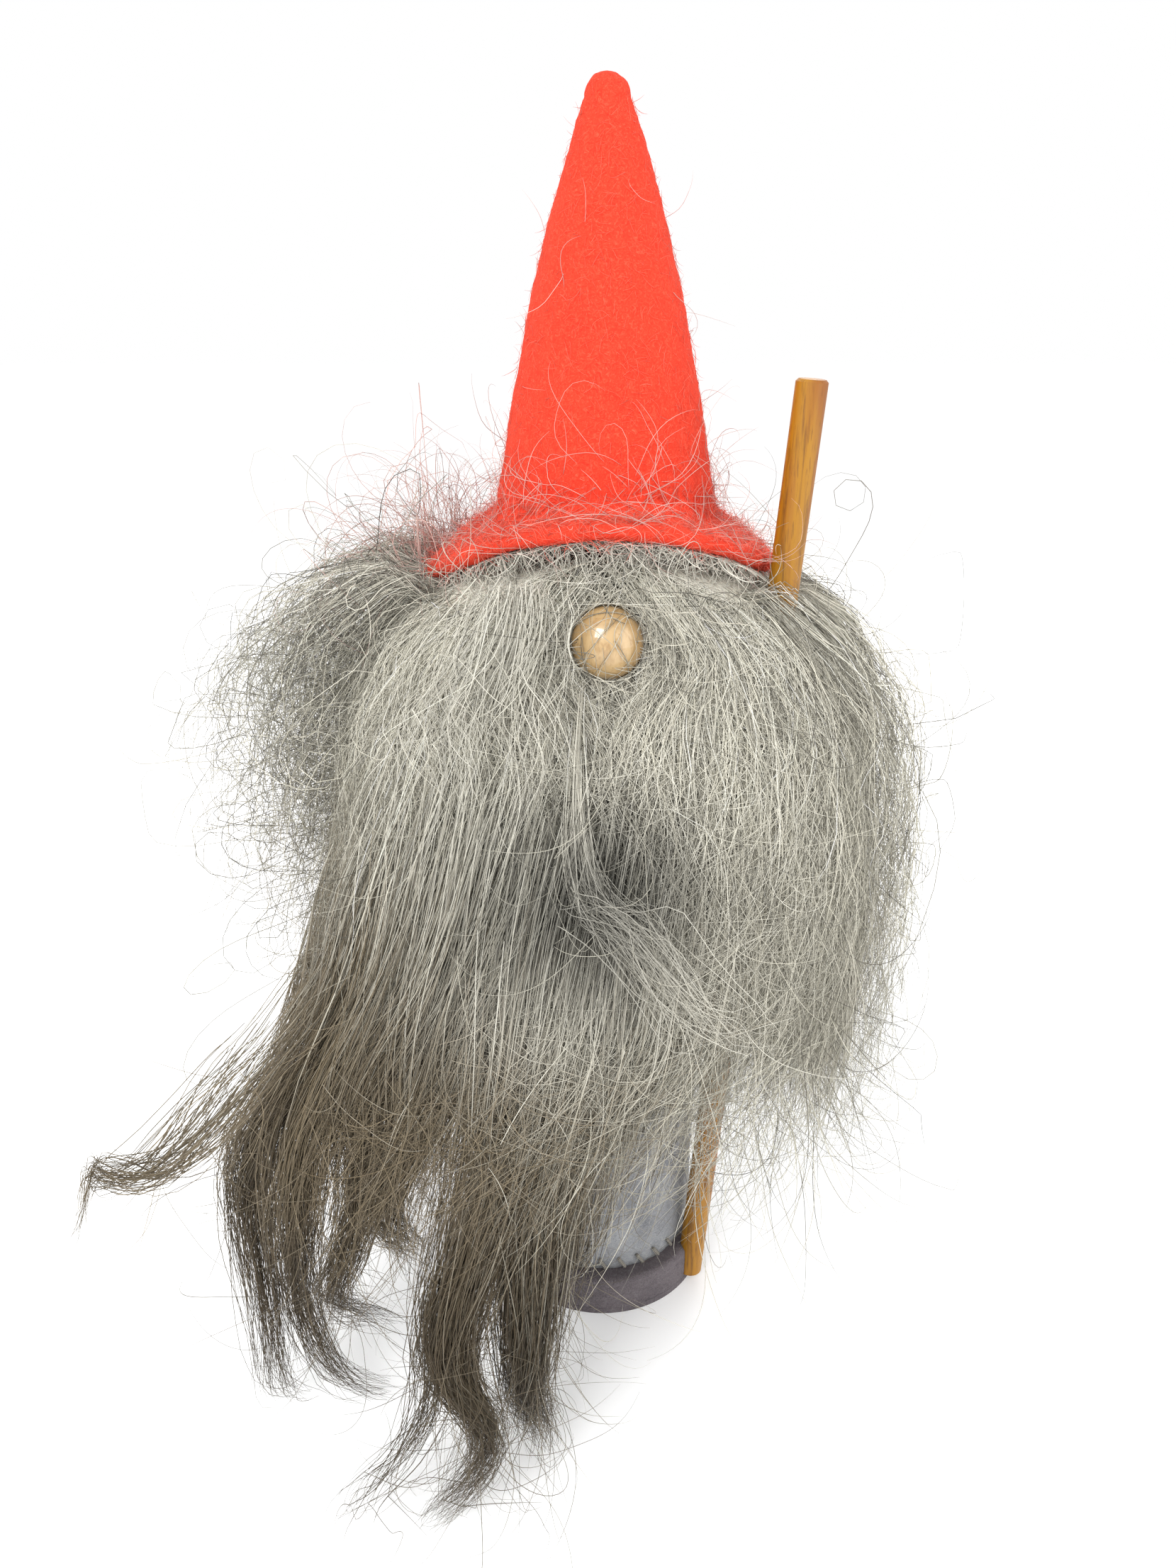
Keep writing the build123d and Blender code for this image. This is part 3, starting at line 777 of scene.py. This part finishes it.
def wool_tones(rng, paths, member, dark_share=0.24):
    """Tone of every strand point: pale above, brown and then umber low down on the swept side, with painted
    shade in the front hollow below the nose.
    """
    count = len(paths)
    pale, mid, dark = (np.array(c) for c in (WOOL_LIGHT, WOOL_MID, WOOL_DARK))
    share = rng.uniform(0, 1, (count, 1, 1))
    tone = pale + (mid - pale) * share
    tone = np.where(rng.uniform(0, 1, (count, 1, 1)) < dark_share, mid + (dark - mid) * share, tone)
    tone = np.broadcast_to(tone, paths.shape).copy()
    x = paths[..., 0:1]
    z = paths[..., 2:3]
    uneven = rng.normal(0, 10, (count, 1, 1))
    for step, strength, height, fallen, rise, side, width in TONE_STEPS:
        start = height + rise * smooth(-x / SWEPT_SIDE)
        reached = smooth((start - z + uneven) / fallen) * smooth((side - x + uneven) / width)
        tone += (np.array(step) - tone) * strength * reached
    tone *= rng.normal(1.0, 0.08, member.max() + 1)[member][:, None, None]
    tone *= rng.normal(1.0, 0.14, (count, 1, 1))
    in_front = paths[..., 1:2] < 0
    tone += (pale - tone) * SWELL[4] * sunk_by(SWELL, x, z) * in_front
    # Painted shade: wool in the front hollow is darkened by HOLLOW_SHADE.
    return np.clip(tone * (1 - HOLLOW_SHADE * sunk_by(HOLLOW, x, z) * in_front), 0.01, 1.0)


def darkened(rng, tone, most, paths):
    """One tone for each strand, darkened by a random share."""
    tone = np.array(tone)
    tones = tone + (np.array(WOOL_DARK) - tone) * rng.uniform(0, most, (len(paths), 1, 1))
    return np.broadcast_to(tones, paths.shape)


def wool_pieces(name, paths, thickness, tones, material, body, replaced=()):
    """Strands shared out over pieces small enough to export whole."""
    triangles = 6 * (paths.shape[1] - 1) + 2
    at_most = TRIANGLES_PER_PIECE // triangles
    for number, start in enumerate(range(0, len(paths), at_most), 1):
        part = slice(start, start + at_most)
        piece = strand_object(f"{name}_{number}", paths[part], thickness[part], tones[part], material)
        placed(piece, body, "fleece")
    if replaced:
        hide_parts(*replaced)


def make_coat(name, seed, layers, replaced, material):
    """Hanging wool in layers, mixed and shared out over pieces."""
    rng = np.random.default_rng(seed)
    paths, members, thickness = [], [], []
    for count, clumps, bearings, shares, gathering, stray, wave, thick in layers:
        layer, member = wool(rng, count, clumps, bearings, shares, gathering, stray, wave)
        paths.append(kept_clear(layer))
        members.append(member + 200 * len(members))
        thickness.append(rng.uniform(*thick, count))
    paths = np.concatenate(paths)
    tones = wool_tones(rng, paths, np.concatenate(members))
    thickness = np.concatenate(thickness)
    order = rng.permutation(len(paths))
    wool_pieces(name, paths[order], thickness[order], tones[order], material, "figure", replaced)


# Layers of wool: strands, clumps, bearings, shares of the wool's width, gathering towards the clumps,
# stray, wave and thickness.
BEARD_LAYERS = [
    (9000, 110, (-114, 114), (0.9, 1.0), 0.35, 0.22, 2.4, (0.1, 0.19)),
    (3600, 40, (-104, 104), (0.96, 1.03), 0.1, 0.5, 4.0, (0.08, 0.13)),
    (3000, 60, (-114, 114), (0.72, 0.9), 0.4, 0.14, 1.8, (0.18, 0.3)),
    (1500, 40, (-114, 114), (0.56, 0.74), 0.4, 0.12, 1.8, (0.2, 0.34)),
]
BACK_LAYERS = [
    (4600, 60, (108, 252), (0.88, 1.0), 0.35, 0.22, 2.4, (0.12, 0.22)),
    (1600, 34, (108, 252), (0.62, 0.88), 0.4, 0.12, 1.8, (0.18, 0.32)),
]


# Long wavy hairs that hang loose outside the coat: name, strands, bearings, shares, how far their tips are
# raised, and the spread of the tips above that.
VEILS = [
    ("staff_side_veil", 460, (56, 124), (1.0, 1.24), -20.0, 14.0),
    ("swept_side_veil", 560, (-124, -72), (1.0, 1.5), 12.0, 24.0),
    ("swept_far_veil", 130, (-118, -76), (1.45, 1.75), 28.0, 22.0),
]


def make_veils(material):
    rng = np.random.default_rng(18)
    steps = 26
    for name, count, bearings, shares, raised, lift in VEILS:
        paths, member = wool(rng, count, 24, bearings, shares, 0.35, 0.3, 5.0, steps, lift, raised)
        paths = kept_clear(paths + waves(rng, count, steps, 2.2, 3.4))
        tones = wool_tones(rng, paths, member, dark_share=0.75)
        wool_pieces(name, paths, rng.uniform(0.09, 0.16, count), tones, material, "figure")


def make_brim_fringe(material):
    """Short wool matted to the brim's underside, which turns with the hat and closes the gap below it."""
    rng = np.random.default_rng(16)
    count = 3400
    bearing = rng.uniform(-np.pi, np.pi, count)
    radius = rng.uniform(PELT_RADIUS + 1.0, BRIM_RADIUS - 0.6, count)
    x, y = level_ring(bearing, radius, radius)
    starts = np.stack([x, y, brim_height(x, 0.0) - 0.2], -1)
    around = np.stack([np.cos(bearing), np.sin(bearing), np.zeros(count)], -1)
    heading = around * rng.normal(0, 1, (count, 1)) + [0, 0, -0.7] + rng.normal(0, 0.25, (count, 3))
    paths = curls(rng, starts, heading, rng.uniform(3, 9, count), 0.2, steps=10)
    nose_top = NOSE[2] + NOSE_RADIUS + 0.6
    lowest = np.maximum(brim_ceiling(paths[..., 0], paths[..., 1]) - 2.5, nose_top)
    underside = brim_height(np.clip(paths[..., 0], -BRIM_RADIUS, BRIM_RADIUS), 0.0) - 0.15
    paths[..., 2] = np.minimum(np.maximum(paths[..., 2], lowest), np.maximum(underside, nose_top))
    tones = darkened(rng, WOOL_LIGHT, 0.6, paths)
    wool_pieces("brim_fringe", paths, rng.uniform(0.1, 0.2, count), tones, material, "hat")


def through(points, steps):
    """A smooth curve through a few points, evenly stepped in parameter."""
    points = np.asarray(points, float)
    padded = np.vstack([2 * points[0] - points[1], points, 2 * points[-1] - points[-2]])
    t = np.linspace(0, len(points) - 1, steps)
    i = np.minimum(t.astype(int), len(points) - 2)
    u = (t - i)[:, None]
    p0, p1, p2, p3 = (padded[i + k] for k in range(4))
    bend = (2 * p0 - 5 * p1 + 4 * p2 - p3) * u**2 + (3 * p1 - p0 - 3 * p2 + p3) * u**3
    return 0.5 * (2 * p1 + (p2 - p0) * u + bend)


# Locks that stand out from the rest: name, points they pass through, strands, spread where they start
# and end in millimetres, and how far their tone is lifted towards the palest wool.
LOCKS = [
    ("parted_lock", [(-4, -30, 137), (-5, -40, 124), (-5, -44, 113), (0, -46, 105), (7, -48, 99),
                     (13, -49, 93), (16, -48, 84), (17, -47, 72)], 110, 0.4, 3.0, 0.3),
    ("pale_lock", [(-7, -20, 151), (-14, -28, 150), (-18, -36, 139), (-20, -42, 124), (-21, -45, 106)],
     160, 2.6, 5.5, 0.35),
    ("far_wisp", [(-42, -32, 92), (-54, -43, 78), (-66, -54, 70), (-79, -64, 68), (-90, -72, 70)],
     110, 4.0, 1.8, 0),
    ("side_lock", [(-26, -22, 130), (-38, -24, 106), (-43, -28, 84), (-50, -34, 56)], 340, 4.5, 1.8, 0),
    ("outer_lock", [(-22, -28, 130), (-34, -31, 106), (-42, -33, 88), (-56, -38, 62), (-62, -42, 38),
                    (-60, -43, 14), (-55, -42, 2)], 420, 5.0, 1.6, 0),
    ("hooked_lock", [(-19, -32, 130), (-29, -36, 106), (-37, -38, 86), (-50, -43, 60), (-55, -45, 34),
                     (-49, -43, 10), (-40, -40, 2)], 440, 5.5, 1.3, 0),
    ("inner_lock", [(-15, -35, 130), (-25, -40, 102), (-39, -46, 64), (-45, -48, 38), (-38, -45, 18)],
     460, 6.0, 1.2, 0),
    ("short_lock", [(-12, -37, 128), (-20, -42, 100), (-32, -48, 68), (-35, -51, 50), (-30, -50, 39)],
     440, 6.0, 1.2, 0),
    ("long_lock", [(-6, -40, 122), (-12, -45, 92), (-21, -54, 54), (-23, -60, 28), (-22, -64, 12),
                   (-28, -69, 2)], 600, 6.0, 1.1, 0),
    ("stray_lock", [(-12, -46, 84), (-18, -51, 62), (-26, -58, 34), (-36, -65, 12), (-44, -69, 2)],
     90, 3.0, 1.4, 0),
    ("middle_lock", [(1, -40, 118), (-4, -45, 86), (-12, -52, 52), (-14, -55, 26), (-11, -54, 9),
                     (-10, -53, 2)], 620, 6.5, 1.2, 0),
    ("hem_lock", [(5, -43, 108), (1, -47, 80), (-8, -48, 54), (-13, -44, 32), (-13, -38, 14)],
     560, 6.5, 2.4, 0),
]


def stretches(rng, full, shortest):
    """Each path cut to a stretch of itself with a random start and end, in the same number of steps."""
    count, steps, _ = full.shape
    t = np.linspace(0, 1, steps)[None, :, None]
    begin = rng.uniform(0, 0.5, (count, 1, 1))
    reach = 1 - (1 - shortest) * rng.uniform(0, 1, (count, 1, 1)) ** 0.7 - begin
    index = (begin + reach * t)[..., 0] * (steps - 1)
    whole = np.minimum(index.astype(int), steps - 2)
    rows = np.arange(count)[:, None]
    part = (index - whole)[..., None]
    return full[rows, whole] * (1 - part) + full[rows, whole + 1] * part


def make_locks(material):
    """The named locks, and fine hairs that fly away from them."""
    rng = np.random.default_rng(13)
    steps = 20
    t = np.linspace(0, 1, steps)[None, :, None]
    flyaways = []
    for name, points, count, loose, tight, lifted in LOCKS:
        guide = through(points, steps)[None] + waves(rng, 1, steps, 2.8, 2.0)
        spread = rng.normal(0, 1, (count, 1, 3)) * (loose + (tight - loose) * smooth(t / 0.75))
        full = guide + spread * [1, 0.5, 0.5] + waves(rng, count, steps, 2.6, 1.7)
        full = full + waves(rng, count, steps, 0.9, 3.8)
        paths = kept_clear(stretches(rng, full, 0.58))
        tones = wool_tones(rng, paths, np.zeros(count, int))
        # Scaling every lock's tone by 0.86 is painted shade: it evens out the extra light the locks catch
        # lying outermost on the coat.
        tones = tones * 0.86 + (np.array(WOOL_LIGHT) - tones) * lifted
        wool_pieces(name, paths, rng.uniform(0.1, 0.19, count), tones, material, "figure")
        flyaways.append(paths[: count // 6, rng.integers(steps // 3, steps - 1)])
    starts = np.concatenate(flyaways)
    count = len(starts)
    heading = rng.normal(0, 0.6, (count, 3)) + [0, 0, -0.7]
    paths = kept_clear(curls(rng, starts, heading, rng.uniform(8, 34, count), 0.08), free=True)
    tones = wool_tones(rng, paths, np.zeros(count, int))
    tones += (np.array(WOOL_GREY) - tones) * 0.15
    wool_pieces("lock_flyaways", paths, rng.uniform(0.07, 0.13, count), tones, material, "figure")


def curls(rng, starts, headings, lengths, tightness, steps=24):
    """Free hairs that leave a start along a heading, then curl ever more about an axis of their own."""
    count = len(starts)
    heading = unit(headings)
    axis = unit(np.cross(heading, rng.normal(size=(count, 3))))
    t = np.linspace(0, 1, steps)[None]
    sign = rng.choice([-1.0, 1.0], (count, 1))
    wobble = 0.8 * np.sin(t * rng.uniform(5, 14, (count, 1)) + rng.uniform(0, TAU, (count, 1)))
    turn = sign * rng.uniform(0.35, 1.6, (count, 1)) * tightness * (0.25 + smooth(t * 1.4) + wobble)
    step = lengths / (steps - 1)
    paths = np.empty((count, steps, 3))
    paths[:, 0] = starts
    for i in range(1, steps):
        angle = (turn[:, i] * step)[:, None]
        heading = heading * np.cos(angle) + np.cross(axis, heading) * np.sin(angle)
        heading = unit(heading + [0, 0, -0.008])
        paths[:, i] = paths[:, i - 1] + heading * step[:, None]
    return paths


def on_wool(rng, count, bearings, heights, share=0.93):
    """Random points on the wool's outside, with the outward direction at each."""
    bearing = np.radians(rng.uniform(*bearings, count))
    z = rng.uniform(*heights, count)
    x, y = level_ring(bearing, *wool_size(z, share))
    out = np.stack([np.sin(bearing), -np.cos(bearing), np.zeros(count)], -1)
    return np.stack([x, y, z], -1), out


# Loose hairs: name, count, bearings, heights, outward and upward lean, length range, curl per millimetre.
FRIZZ = [
    ("right_side_frizz", 520, (-125, -66), (88, 142), 1.0, -0.1, (30, 90), 0.16),
    ("right_far_frizz", 110, (-118, -72), (94, 140), 1.6, 0.0, (40, 84), 0.1),
    ("left_side_frizz", 240, (66, 125), (66, 142), 0.6, -0.6, (20, 66), 0.14),
    ("tuft_by_brim", 360, (-142, -104), (134, 141), 0.1, 1.3, (14, 40), 0.08),
    ("loops_by_brim", 60, (-128, -84), (134, 142), 0.4, 1.2, (40, 76), 0.13),
    ("staff_side_loops", 34, (62, 112), (92, 140), 1.3, 0.1, (34, 74), 0.09),
    ("top_frizz", 300, (-180, 180), (140, 148), 0.8, 0.3, (8, 30), 0.2),
    ("front_frizz", 700, (-70, 70), (94, 150), 0.25, -0.6, (12, 40), 0.07),
    ("low_wisps", 340, (14, 100), (52, 86), 0.2, -1.0, (16, 52), 0.06),
]


def make_frizz(material):
    rng = np.random.default_rng(14)
    for name, count, bearings, heights, outward, upward, lengths, curl in FRIZZ:
        starts, out = on_wool(rng, count, bearings, heights)
        heading = out * outward + [0, 0, upward] + rng.normal(0, 0.4, (count, 3))
        paths = kept_clear(curls(rng, starts, heading, rng.uniform(*lengths, count), curl), free=True)
        pinkish = name in ("tuft_by_brim", "loops_by_brim")
        tones = darkened(rng, WOOL_PINK, 0.55, paths) if pinkish else darkened(rng, WOOL_MID, 1.0, paths)
        wool_pieces(name, paths, rng.uniform(0.08, 0.16, count), tones, material, "figure")


# Fibres on the hat: name, count, outward lean, lengths, curl, how many times denser they are below a
# height, that height, thickness, tone and slot.
HAT_FIBRES = [
    ("hat_felt_fibres", 3200, 0.2, (0.8, 3.2), 0.3, 1, 168, (0.04, 0.07), FELT_FIBRE, "felt_red"),
    ("brim_felt_fibres", 3600, 0.3, (1.2, 4.5), 0.35, 91, 162, (0.06, 0.11), BRIM_FIBRE, "felt_red"),
    ("hat_caught_wool", 520, 0.35, (5.0, 20.0), 0.14, 31, 168, (0.06, 0.11), WOOL_PINK, "fleece"),
]


def make_hat_fibres(material):
    """Fine fibres lifting off the felt, and stray wool caught on the brim and the foot of the cone."""
    rng = np.random.default_rng(15)
    rings = hat_rings(200)
    outside = rings[14:176]
    across, along, normal = ring_directions(outside)
    area = np.linalg.norm(across, axis=-1) * np.linalg.norm(along, axis=-1)
    for name, count, lean, lengths, curl, denser, below, thickness, tone, slot in HAT_FIBRES:
        weight = area * np.where(outside[..., 2] < below, denser, 1)
        pick = rng.choice(weight.size, count, p=(weight / weight.sum()).ravel())
        starts = outside.reshape(-1, 3)[pick]
        out = normal.reshape(-1, 3)[pick]
        heading = unit(np.cross(out, rng.normal(size=(count, 3)))) + out * lean
        paths = curls(rng, starts, heading, rng.uniform(*lengths, count), curl, steps=12)
        tones = np.array(tone) * rng.uniform(0.6, 1.1, (count, 1, 1))
        tones = np.broadcast_to(np.clip(tones, 0, 1), paths.shape)
        piece = strand_object(name, clear_of_hat(paths), rng.uniform(*thickness, count), tones, material)
        placed(piece, "hat", slot)


def clear_of_hat(paths):
    """Hair points above the brim moved out of the cone."""
    z = paths[..., 2]
    radius = np.hypot(paths[..., 0], paths[..., 1])
    wanted = hat_radius(np.clip(z, BRIM_CREST_Z, TIP_Z - HAT_TIP_RADIUS)) + 0.15
    factor = np.maximum(wanted / np.maximum(radius, 1e-6), 1)
    above = z > BRIM_CREST_Z + FELT
    out = paths.copy()
    out[..., :2] *= np.where(above, factor, 1.0)[..., None]
    return out


# =====================================================================================
# Felt body, base and the parts inside
# =====================================================================================
def body_outline(inset):
    """The body's side from its foot to its crown, at a depth inside the felt."""
    heights, radii = zip(*BODY_SIDE)
    z = np.linspace(heights[0] + inset * 0.2, BODY_NECK_Z, 90)
    side = np.stack([np.polyval(np.polyfit(heights, radii, 3), z) - inset, z], -1)
    neck = BODY_NECK_RADIUS - inset
    straight = line((neck, BODY_NECK_Z + 0.3), (neck, BODY_DOME_Z), 14)
    a = np.linspace(0, np.pi / 2, 26)
    dome = np.stack([neck * np.cos(a), BODY_DOME_Z + neck * np.sin(a)], -1)
    return np.concatenate([side, straight, dome])


def stuffed(rings, rows_apart=5, columns_apart=5):
    """How far wadding pressing from inside moves a felt skin outwards between its stitched foot and seam.

    A coarse closed copy of the skin is inflated as cloth, and its movement is spread over the fine rings.
    """
    count, around, _ = rings.shape
    rows = np.unique(np.append(np.arange(0, count, rows_apart), count - 1))
    columns = np.arange(0, around, columns_apart)
    coarse = rings[rows][:, columns]
    bag = turned_object("stuffed_bag", BAG_SCALE * np.concatenate([coarse, coarse[-1:] * [0, 0, 1]]), None)
    held = bag.vertex_groups.new(name="stitched")
    height = rings[..., 2].min()
    seam = rings[..., 1].max()
    for vertex in bag.data.vertices:
        _, y, z = vertex.co / MM / BAG_SCALE
        if z < height + 5 or (y > seam - 0.6 and z < BODY_NECK_Z):
            held.add([vertex.index], 1.0, "REPLACE")
    cloth = bag.modifiers.new("stuffing", "CLOTH")
    cloth.settings.use_pressure = True
    cloth.settings.uniform_pressure_force = BAG_PRESSURE
    cloth.settings.vertex_group_mass = "stitched"
    cloth.settings.effector_weights.gravity = 0.0
    cloth.point_cache.frame_end = BAG_FRAMES
    for moment in range(1, BAG_FRAMES + 1):
        bpy.context.scene.frame_set(moment)
    settled = bag.evaluated_get(bpy.context.evaluated_depsgraph_get()).data
    after = np.array([v.co for v in settled.vertices])[:-2] / MM / BAG_SCALE
    bpy.context.scene.frame_set(1)
    bpy.data.objects.remove(bag)
    before = coarse[1:]
    outwards = unit(before - STUFFING_CENTRE)
    moved = np.zeros(coarse.shape[:2])
    moved[1:] = np.einsum("ijk,ijk->ij", after.reshape(before.shape) - before, outwards)
    moved = np.clip(moved, -MOST_STUFFED, MOST_STUFFED)
    closed = np.concatenate([moved, moved[:, :1]], axis=1)
    wide = np.array([np.interp(np.arange(around), np.append(columns, around), row) for row in closed])
    return np.array([np.interp(np.arange(count), rows, column) for column in wide.T]).T


def make_body(material):
    """The body's felt tube, bulged by its stuffing."""
    outside = revolved(body_outline(0.0)[::-1], 220)
    bulge = stuffed(outside)
    outside[..., :2] *= (1 + bulge / np.maximum(np.hypot(outside[..., 0], outside[..., 1]), 5))[..., None]
    inside = revolved(body_outline(BODY_FELT), 220)
    rings = felt_relief(np.concatenate([outside, inside]), 0.35, 0.12, size=14.0)
    body = turned_object("body_felt_skin", rings, material)
    placed(body, "figure", "felt_grey", "body_felt")


def closed_ring_object(name, outline, around, material, slow, fine):
    """A ring-shaped felt piece: its outline closes on itself, away from the axis."""
    rings = revolved(outline, around)
    wrapped = np.concatenate([rings[-1:], rings, rings[:1]])
    rings = felt_relief(wrapped, slow, fine)[1:-1]
    rows = np.arange(len(rings)) * around
    quads = ring_quads(rows, np.roll(rows, -1), around)
    return new_object(name, rings.reshape(-1, 3), quads, np.empty((0, 3), int), material)


def make_base(material):
    """The felt cover over the rim of the base, and the sole under it."""
    outer, inner, hole = COVER_RADIUS, COVER_RADIUS - COVER_FELT, COVER_OPENING
    top, under, low = COVER_TOP, COVER_TOP - COVER_FELT, COVER_LOW[2]
    bend = np.linspace(np.pi / 2, 0, 8)
    corner = [outer - COVER_CORNER, top - COVER_CORNER] + np.stack([np.sin(bend), np.cos(bend)], -1)
    outline = np.concatenate([
        line((outer, low), (outer, top - COVER_CORNER), 24), corner,
        line((outer - COVER_CORNER - 0.1, top), (hole, top), 18), line((hole, top), (hole, under), 4),
        line((hole, under), (inner, under), 14), line((inner, under), (inner, low), 14),
        line((inner, low), (outer, low), 4),
    ])
    # The cover and sole take the base felt, whose dark purplish grey is partly painted shade.
    cover = closed_ring_object("base_cover_felt", outline, 260, material, 0.12, 0.08)
    placed(cover, "figure", "felt_dark", "base_cover")
    edge = box_mm("sole_felt")[1][0] - 0.1
    sole_outline = np.concatenate([
        line((0.0, SOLE_BOTTOM), (edge, SOLE_BOTTOM), 24),
        line((edge, SOLE_BOTTOM), (edge + 0.05, SOLE_TOP - 0.05), 6),
        line((edge, SOLE_TOP), (0.0, SOLE_TOP), 24),
        [(0.0, SOLE_TOP)],
    ])
    sole = turned_object("sole_felt_pad", revolved(sole_outline, 160), material)
    placed(sole, "figure", "felt_dark", "sole_felt")


def soft_copy(node, name, material, voxel, depth, size, body, slot):
    """A soft inner part: the CAD form remeshed, rounded and roughened."""
    piece = frame["nodes"][node].copy()
    piece.data = piece.data.copy()
    piece.name = name
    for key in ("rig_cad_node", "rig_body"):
        del piece[key]
    piece.parent = None
    bpy.context.scene.collection.objects.link(piece)
    remesh = piece.modifiers.new("even", "REMESH")
    remesh.mode = "VOXEL"
    remesh.voxel_size = voxel * MM
    bpy.context.view_layer.update()
    even = bpy.data.meshes.new_from_object(piece.evaluated_get(bpy.context.evaluated_depsgraph_get()))
    piece.modifiers.clear()
    piece.data = even
    points = np.empty(len(even.vertices) * 3, np.float32)
    even.vertices.foreach_get("co", points)
    points = points.reshape(-1, 3) / MM
    normal = np.empty(len(even.vertices) * 3, np.float32)
    even.vertices.foreach_get("normal", normal)
    points = points - normal.reshape(-1, 3) * np.abs(rough(points, size, depth, 3))[:, None]
    even.vertices.foreach_set("co", (points * MM).astype(np.float32).ravel())
    even.polygons.foreach_set("use_smooth", np.ones(len(even.polygons), bool))
    even.update()
    even.materials.clear()
    even.materials.append(material)
    placed(piece, body, slot, node)


def finish_cad(node, material):
    """A CAD node keeps its shape and takes a better material."""
    mesh = frame["nodes"][node].data
    mesh.materials.clear()
    mesh.materials.append(material)


def make_inner_parts():
    """The parts under the wool and felt, and the nose and staff, whose CAD form shows as it is."""
    wadding = wadding_material("carded wool")
    hide = hide_material("suede hide")
    grey = felt_material("loop felt", srgb(132, 132, 132), srgb(84, 84, 88), srgb(186, 186, 186), 0.3)
    soft_copy("body_wadding", "body_wadding_wool", wadding, 1.2, 0.25, 5.0, "figure", "wadding")
    soft_copy("tip_wadding", "hat_tip_wadding_wool", wadding, 0.8, 0.5, 4.0, "hat_form", "wadding")
    soft_copy("beard_pelt", "beard_pelt_hide", hide, 0.35, 0.08, 2.0, "figure", "hide")
    soft_copy("hair_pelt", "hair_pelt_hide", hide, 0.35, 0.08, 2.0, "figure", "hide")
    soft_copy("staff_loop", "staff_loop_felt", grey, 0.3, 0.06, 1.5, "figure", "felt_grey")
    pale_wood = wood_material("plain birch", srgb(222, 196, 156), srgb(186, 150, 106), srgb(206, 176, 132))
    steel = steel_material("zinc plate")
    thread = thread_material("cotton thread")
    for node in ("base_disc", "core_post", "head_ball", "nose_peg"):
        finish_cad(node, pale_wood)
    for node in ("post_screw", "ballast_washers"):
        finish_cad(node, steel)
    for node in ("seam_stitches", "hem_stitches", "pelt_stitches"):
        finish_cad(node, thread)
    finish_cad("card_cone", card_material("greyboard"))
    finish_cad("nose_bead", wood_material("varnished bead", srgb(194, 163, 116), srgb(162, 126, 80),
                                          srgb(178, 143, 96), along=(0.3, 0.1, 0.9), gloss=1.0, rough=0.3))
    finish_cad("staff", wood_material("stained dowel", srgb(158, 108, 4), srgb(98, 58, 8),
                                      srgb(138, 80, 8), gloss=0.05, rough=0.5))


# =====================================================================================
# Stage
# =====================================================================================
def make_stage():
    n = Nodes("pale floor")
    grain = n.noise(n.place, 30, detail=3)
    colour = n.ramp(grain, (0.3, (0.86, 0.86, 0.86)), (0.7, (0.90, 0.90, 0.90)))
    material = n.finish(Base_Color=colour, Roughness=0.9, Emission_Color=(1, 1, 1, 1), Emission_Strength=0.13)
    half = 4000.0
    corners = [(-half, -half, 0), (half, -half, 0), (half, half, 0), (-half, half, 0)]
    floor = new_object("floor", np.array(corners), np.array([[0, 1, 2, 3]]), np.empty((0, 3), int), material)
    world = bpy.data.worlds.new("studio")
    world.use_nodes = True
    world.node_tree.nodes["Background"].inputs["Color"].default_value = (1, 1, 1, 1)
    world.node_tree.nodes["Background"].inputs["Strength"].default_value = 1.0
    bpy.context.scene.world = world
    for name, place, power, size in (
        ("key", (-0.28, -0.50, 0.62), 4.4, 0.35),
        ("fill", (0.55, -0.35, 0.35), 2.0, 0.6),
        ("rim", (0.1, 0.6, 0.5), 2.0, 0.5),
    ):
        light = bpy.data.objects.new(name, bpy.data.lights.new(name, "AREA"))
        light.data.energy = power
        light.data.size = size
        light.location = place
        aim = Vector((0, 0, 0.11)) - light.location
        light.rotation_euler = aim.to_track_quat("-Z", "Y").to_euler()
        bpy.context.scene.collection.objects.link(light)
    bpy.context.scene.view_settings.view_transform = "Standard"


def make_camera():
    """Close to the figure, a little above its hat's brim and tilted down."""
    camera = bpy.data.objects.new("camera", bpy.data.cameras.new("camera"))
    camera.data.lens = CAMERA_LENS
    camera.data.clip_start = 0.01
    camera.location = np.array(CAMERA_PLACE) * MM
    camera.rotation_euler = (radians(90 - CAMERA_TILT), 0, 0)
    bpy.context.scene.collection.objects.link(camera)
    bpy.context.scene.camera = camera


red_felt = felt_material("hat felt", srgb(232, 66, 44), srgb(208, 46, 32), srgb(246, 108, 82), 0.35, 0.15)
grey_felt = felt_material("body felt", srgb(156, 158, 161), srgb(94, 95, 100), srgb(206, 208, 211), 0.4, 0.55)
# The base felt's dark purplish grey is partly its own colour and partly painted shade, for the shade that
# falls on the base under the body and wool.
base_felt_with_painted_shade = felt_material("base felt with painted shade", srgb(108, 101, 104), srgb(70, 64, 68), srgb(148, 142, 146), 0.3, 0.4)
wool_look = wool_material("wool strands")
make_hat(red_felt)
make_hat_fibres(wool_look)
make_body(grey_felt)
make_base(base_felt_with_painted_shade)
make_inner_parts()
make_coat("beard_wool", 11, BEARD_LAYERS, ["beard_fleece"], wool_look)
make_coat("back_wool", 12, BACK_LAYERS, ["hair_fleece"], wool_look)
make_locks(wool_look)
make_veils(wool_look)
make_brim_fringe(wool_look)
make_tangle(wool_look)
make_frizz(wool_look)
make_stage()
make_camera()
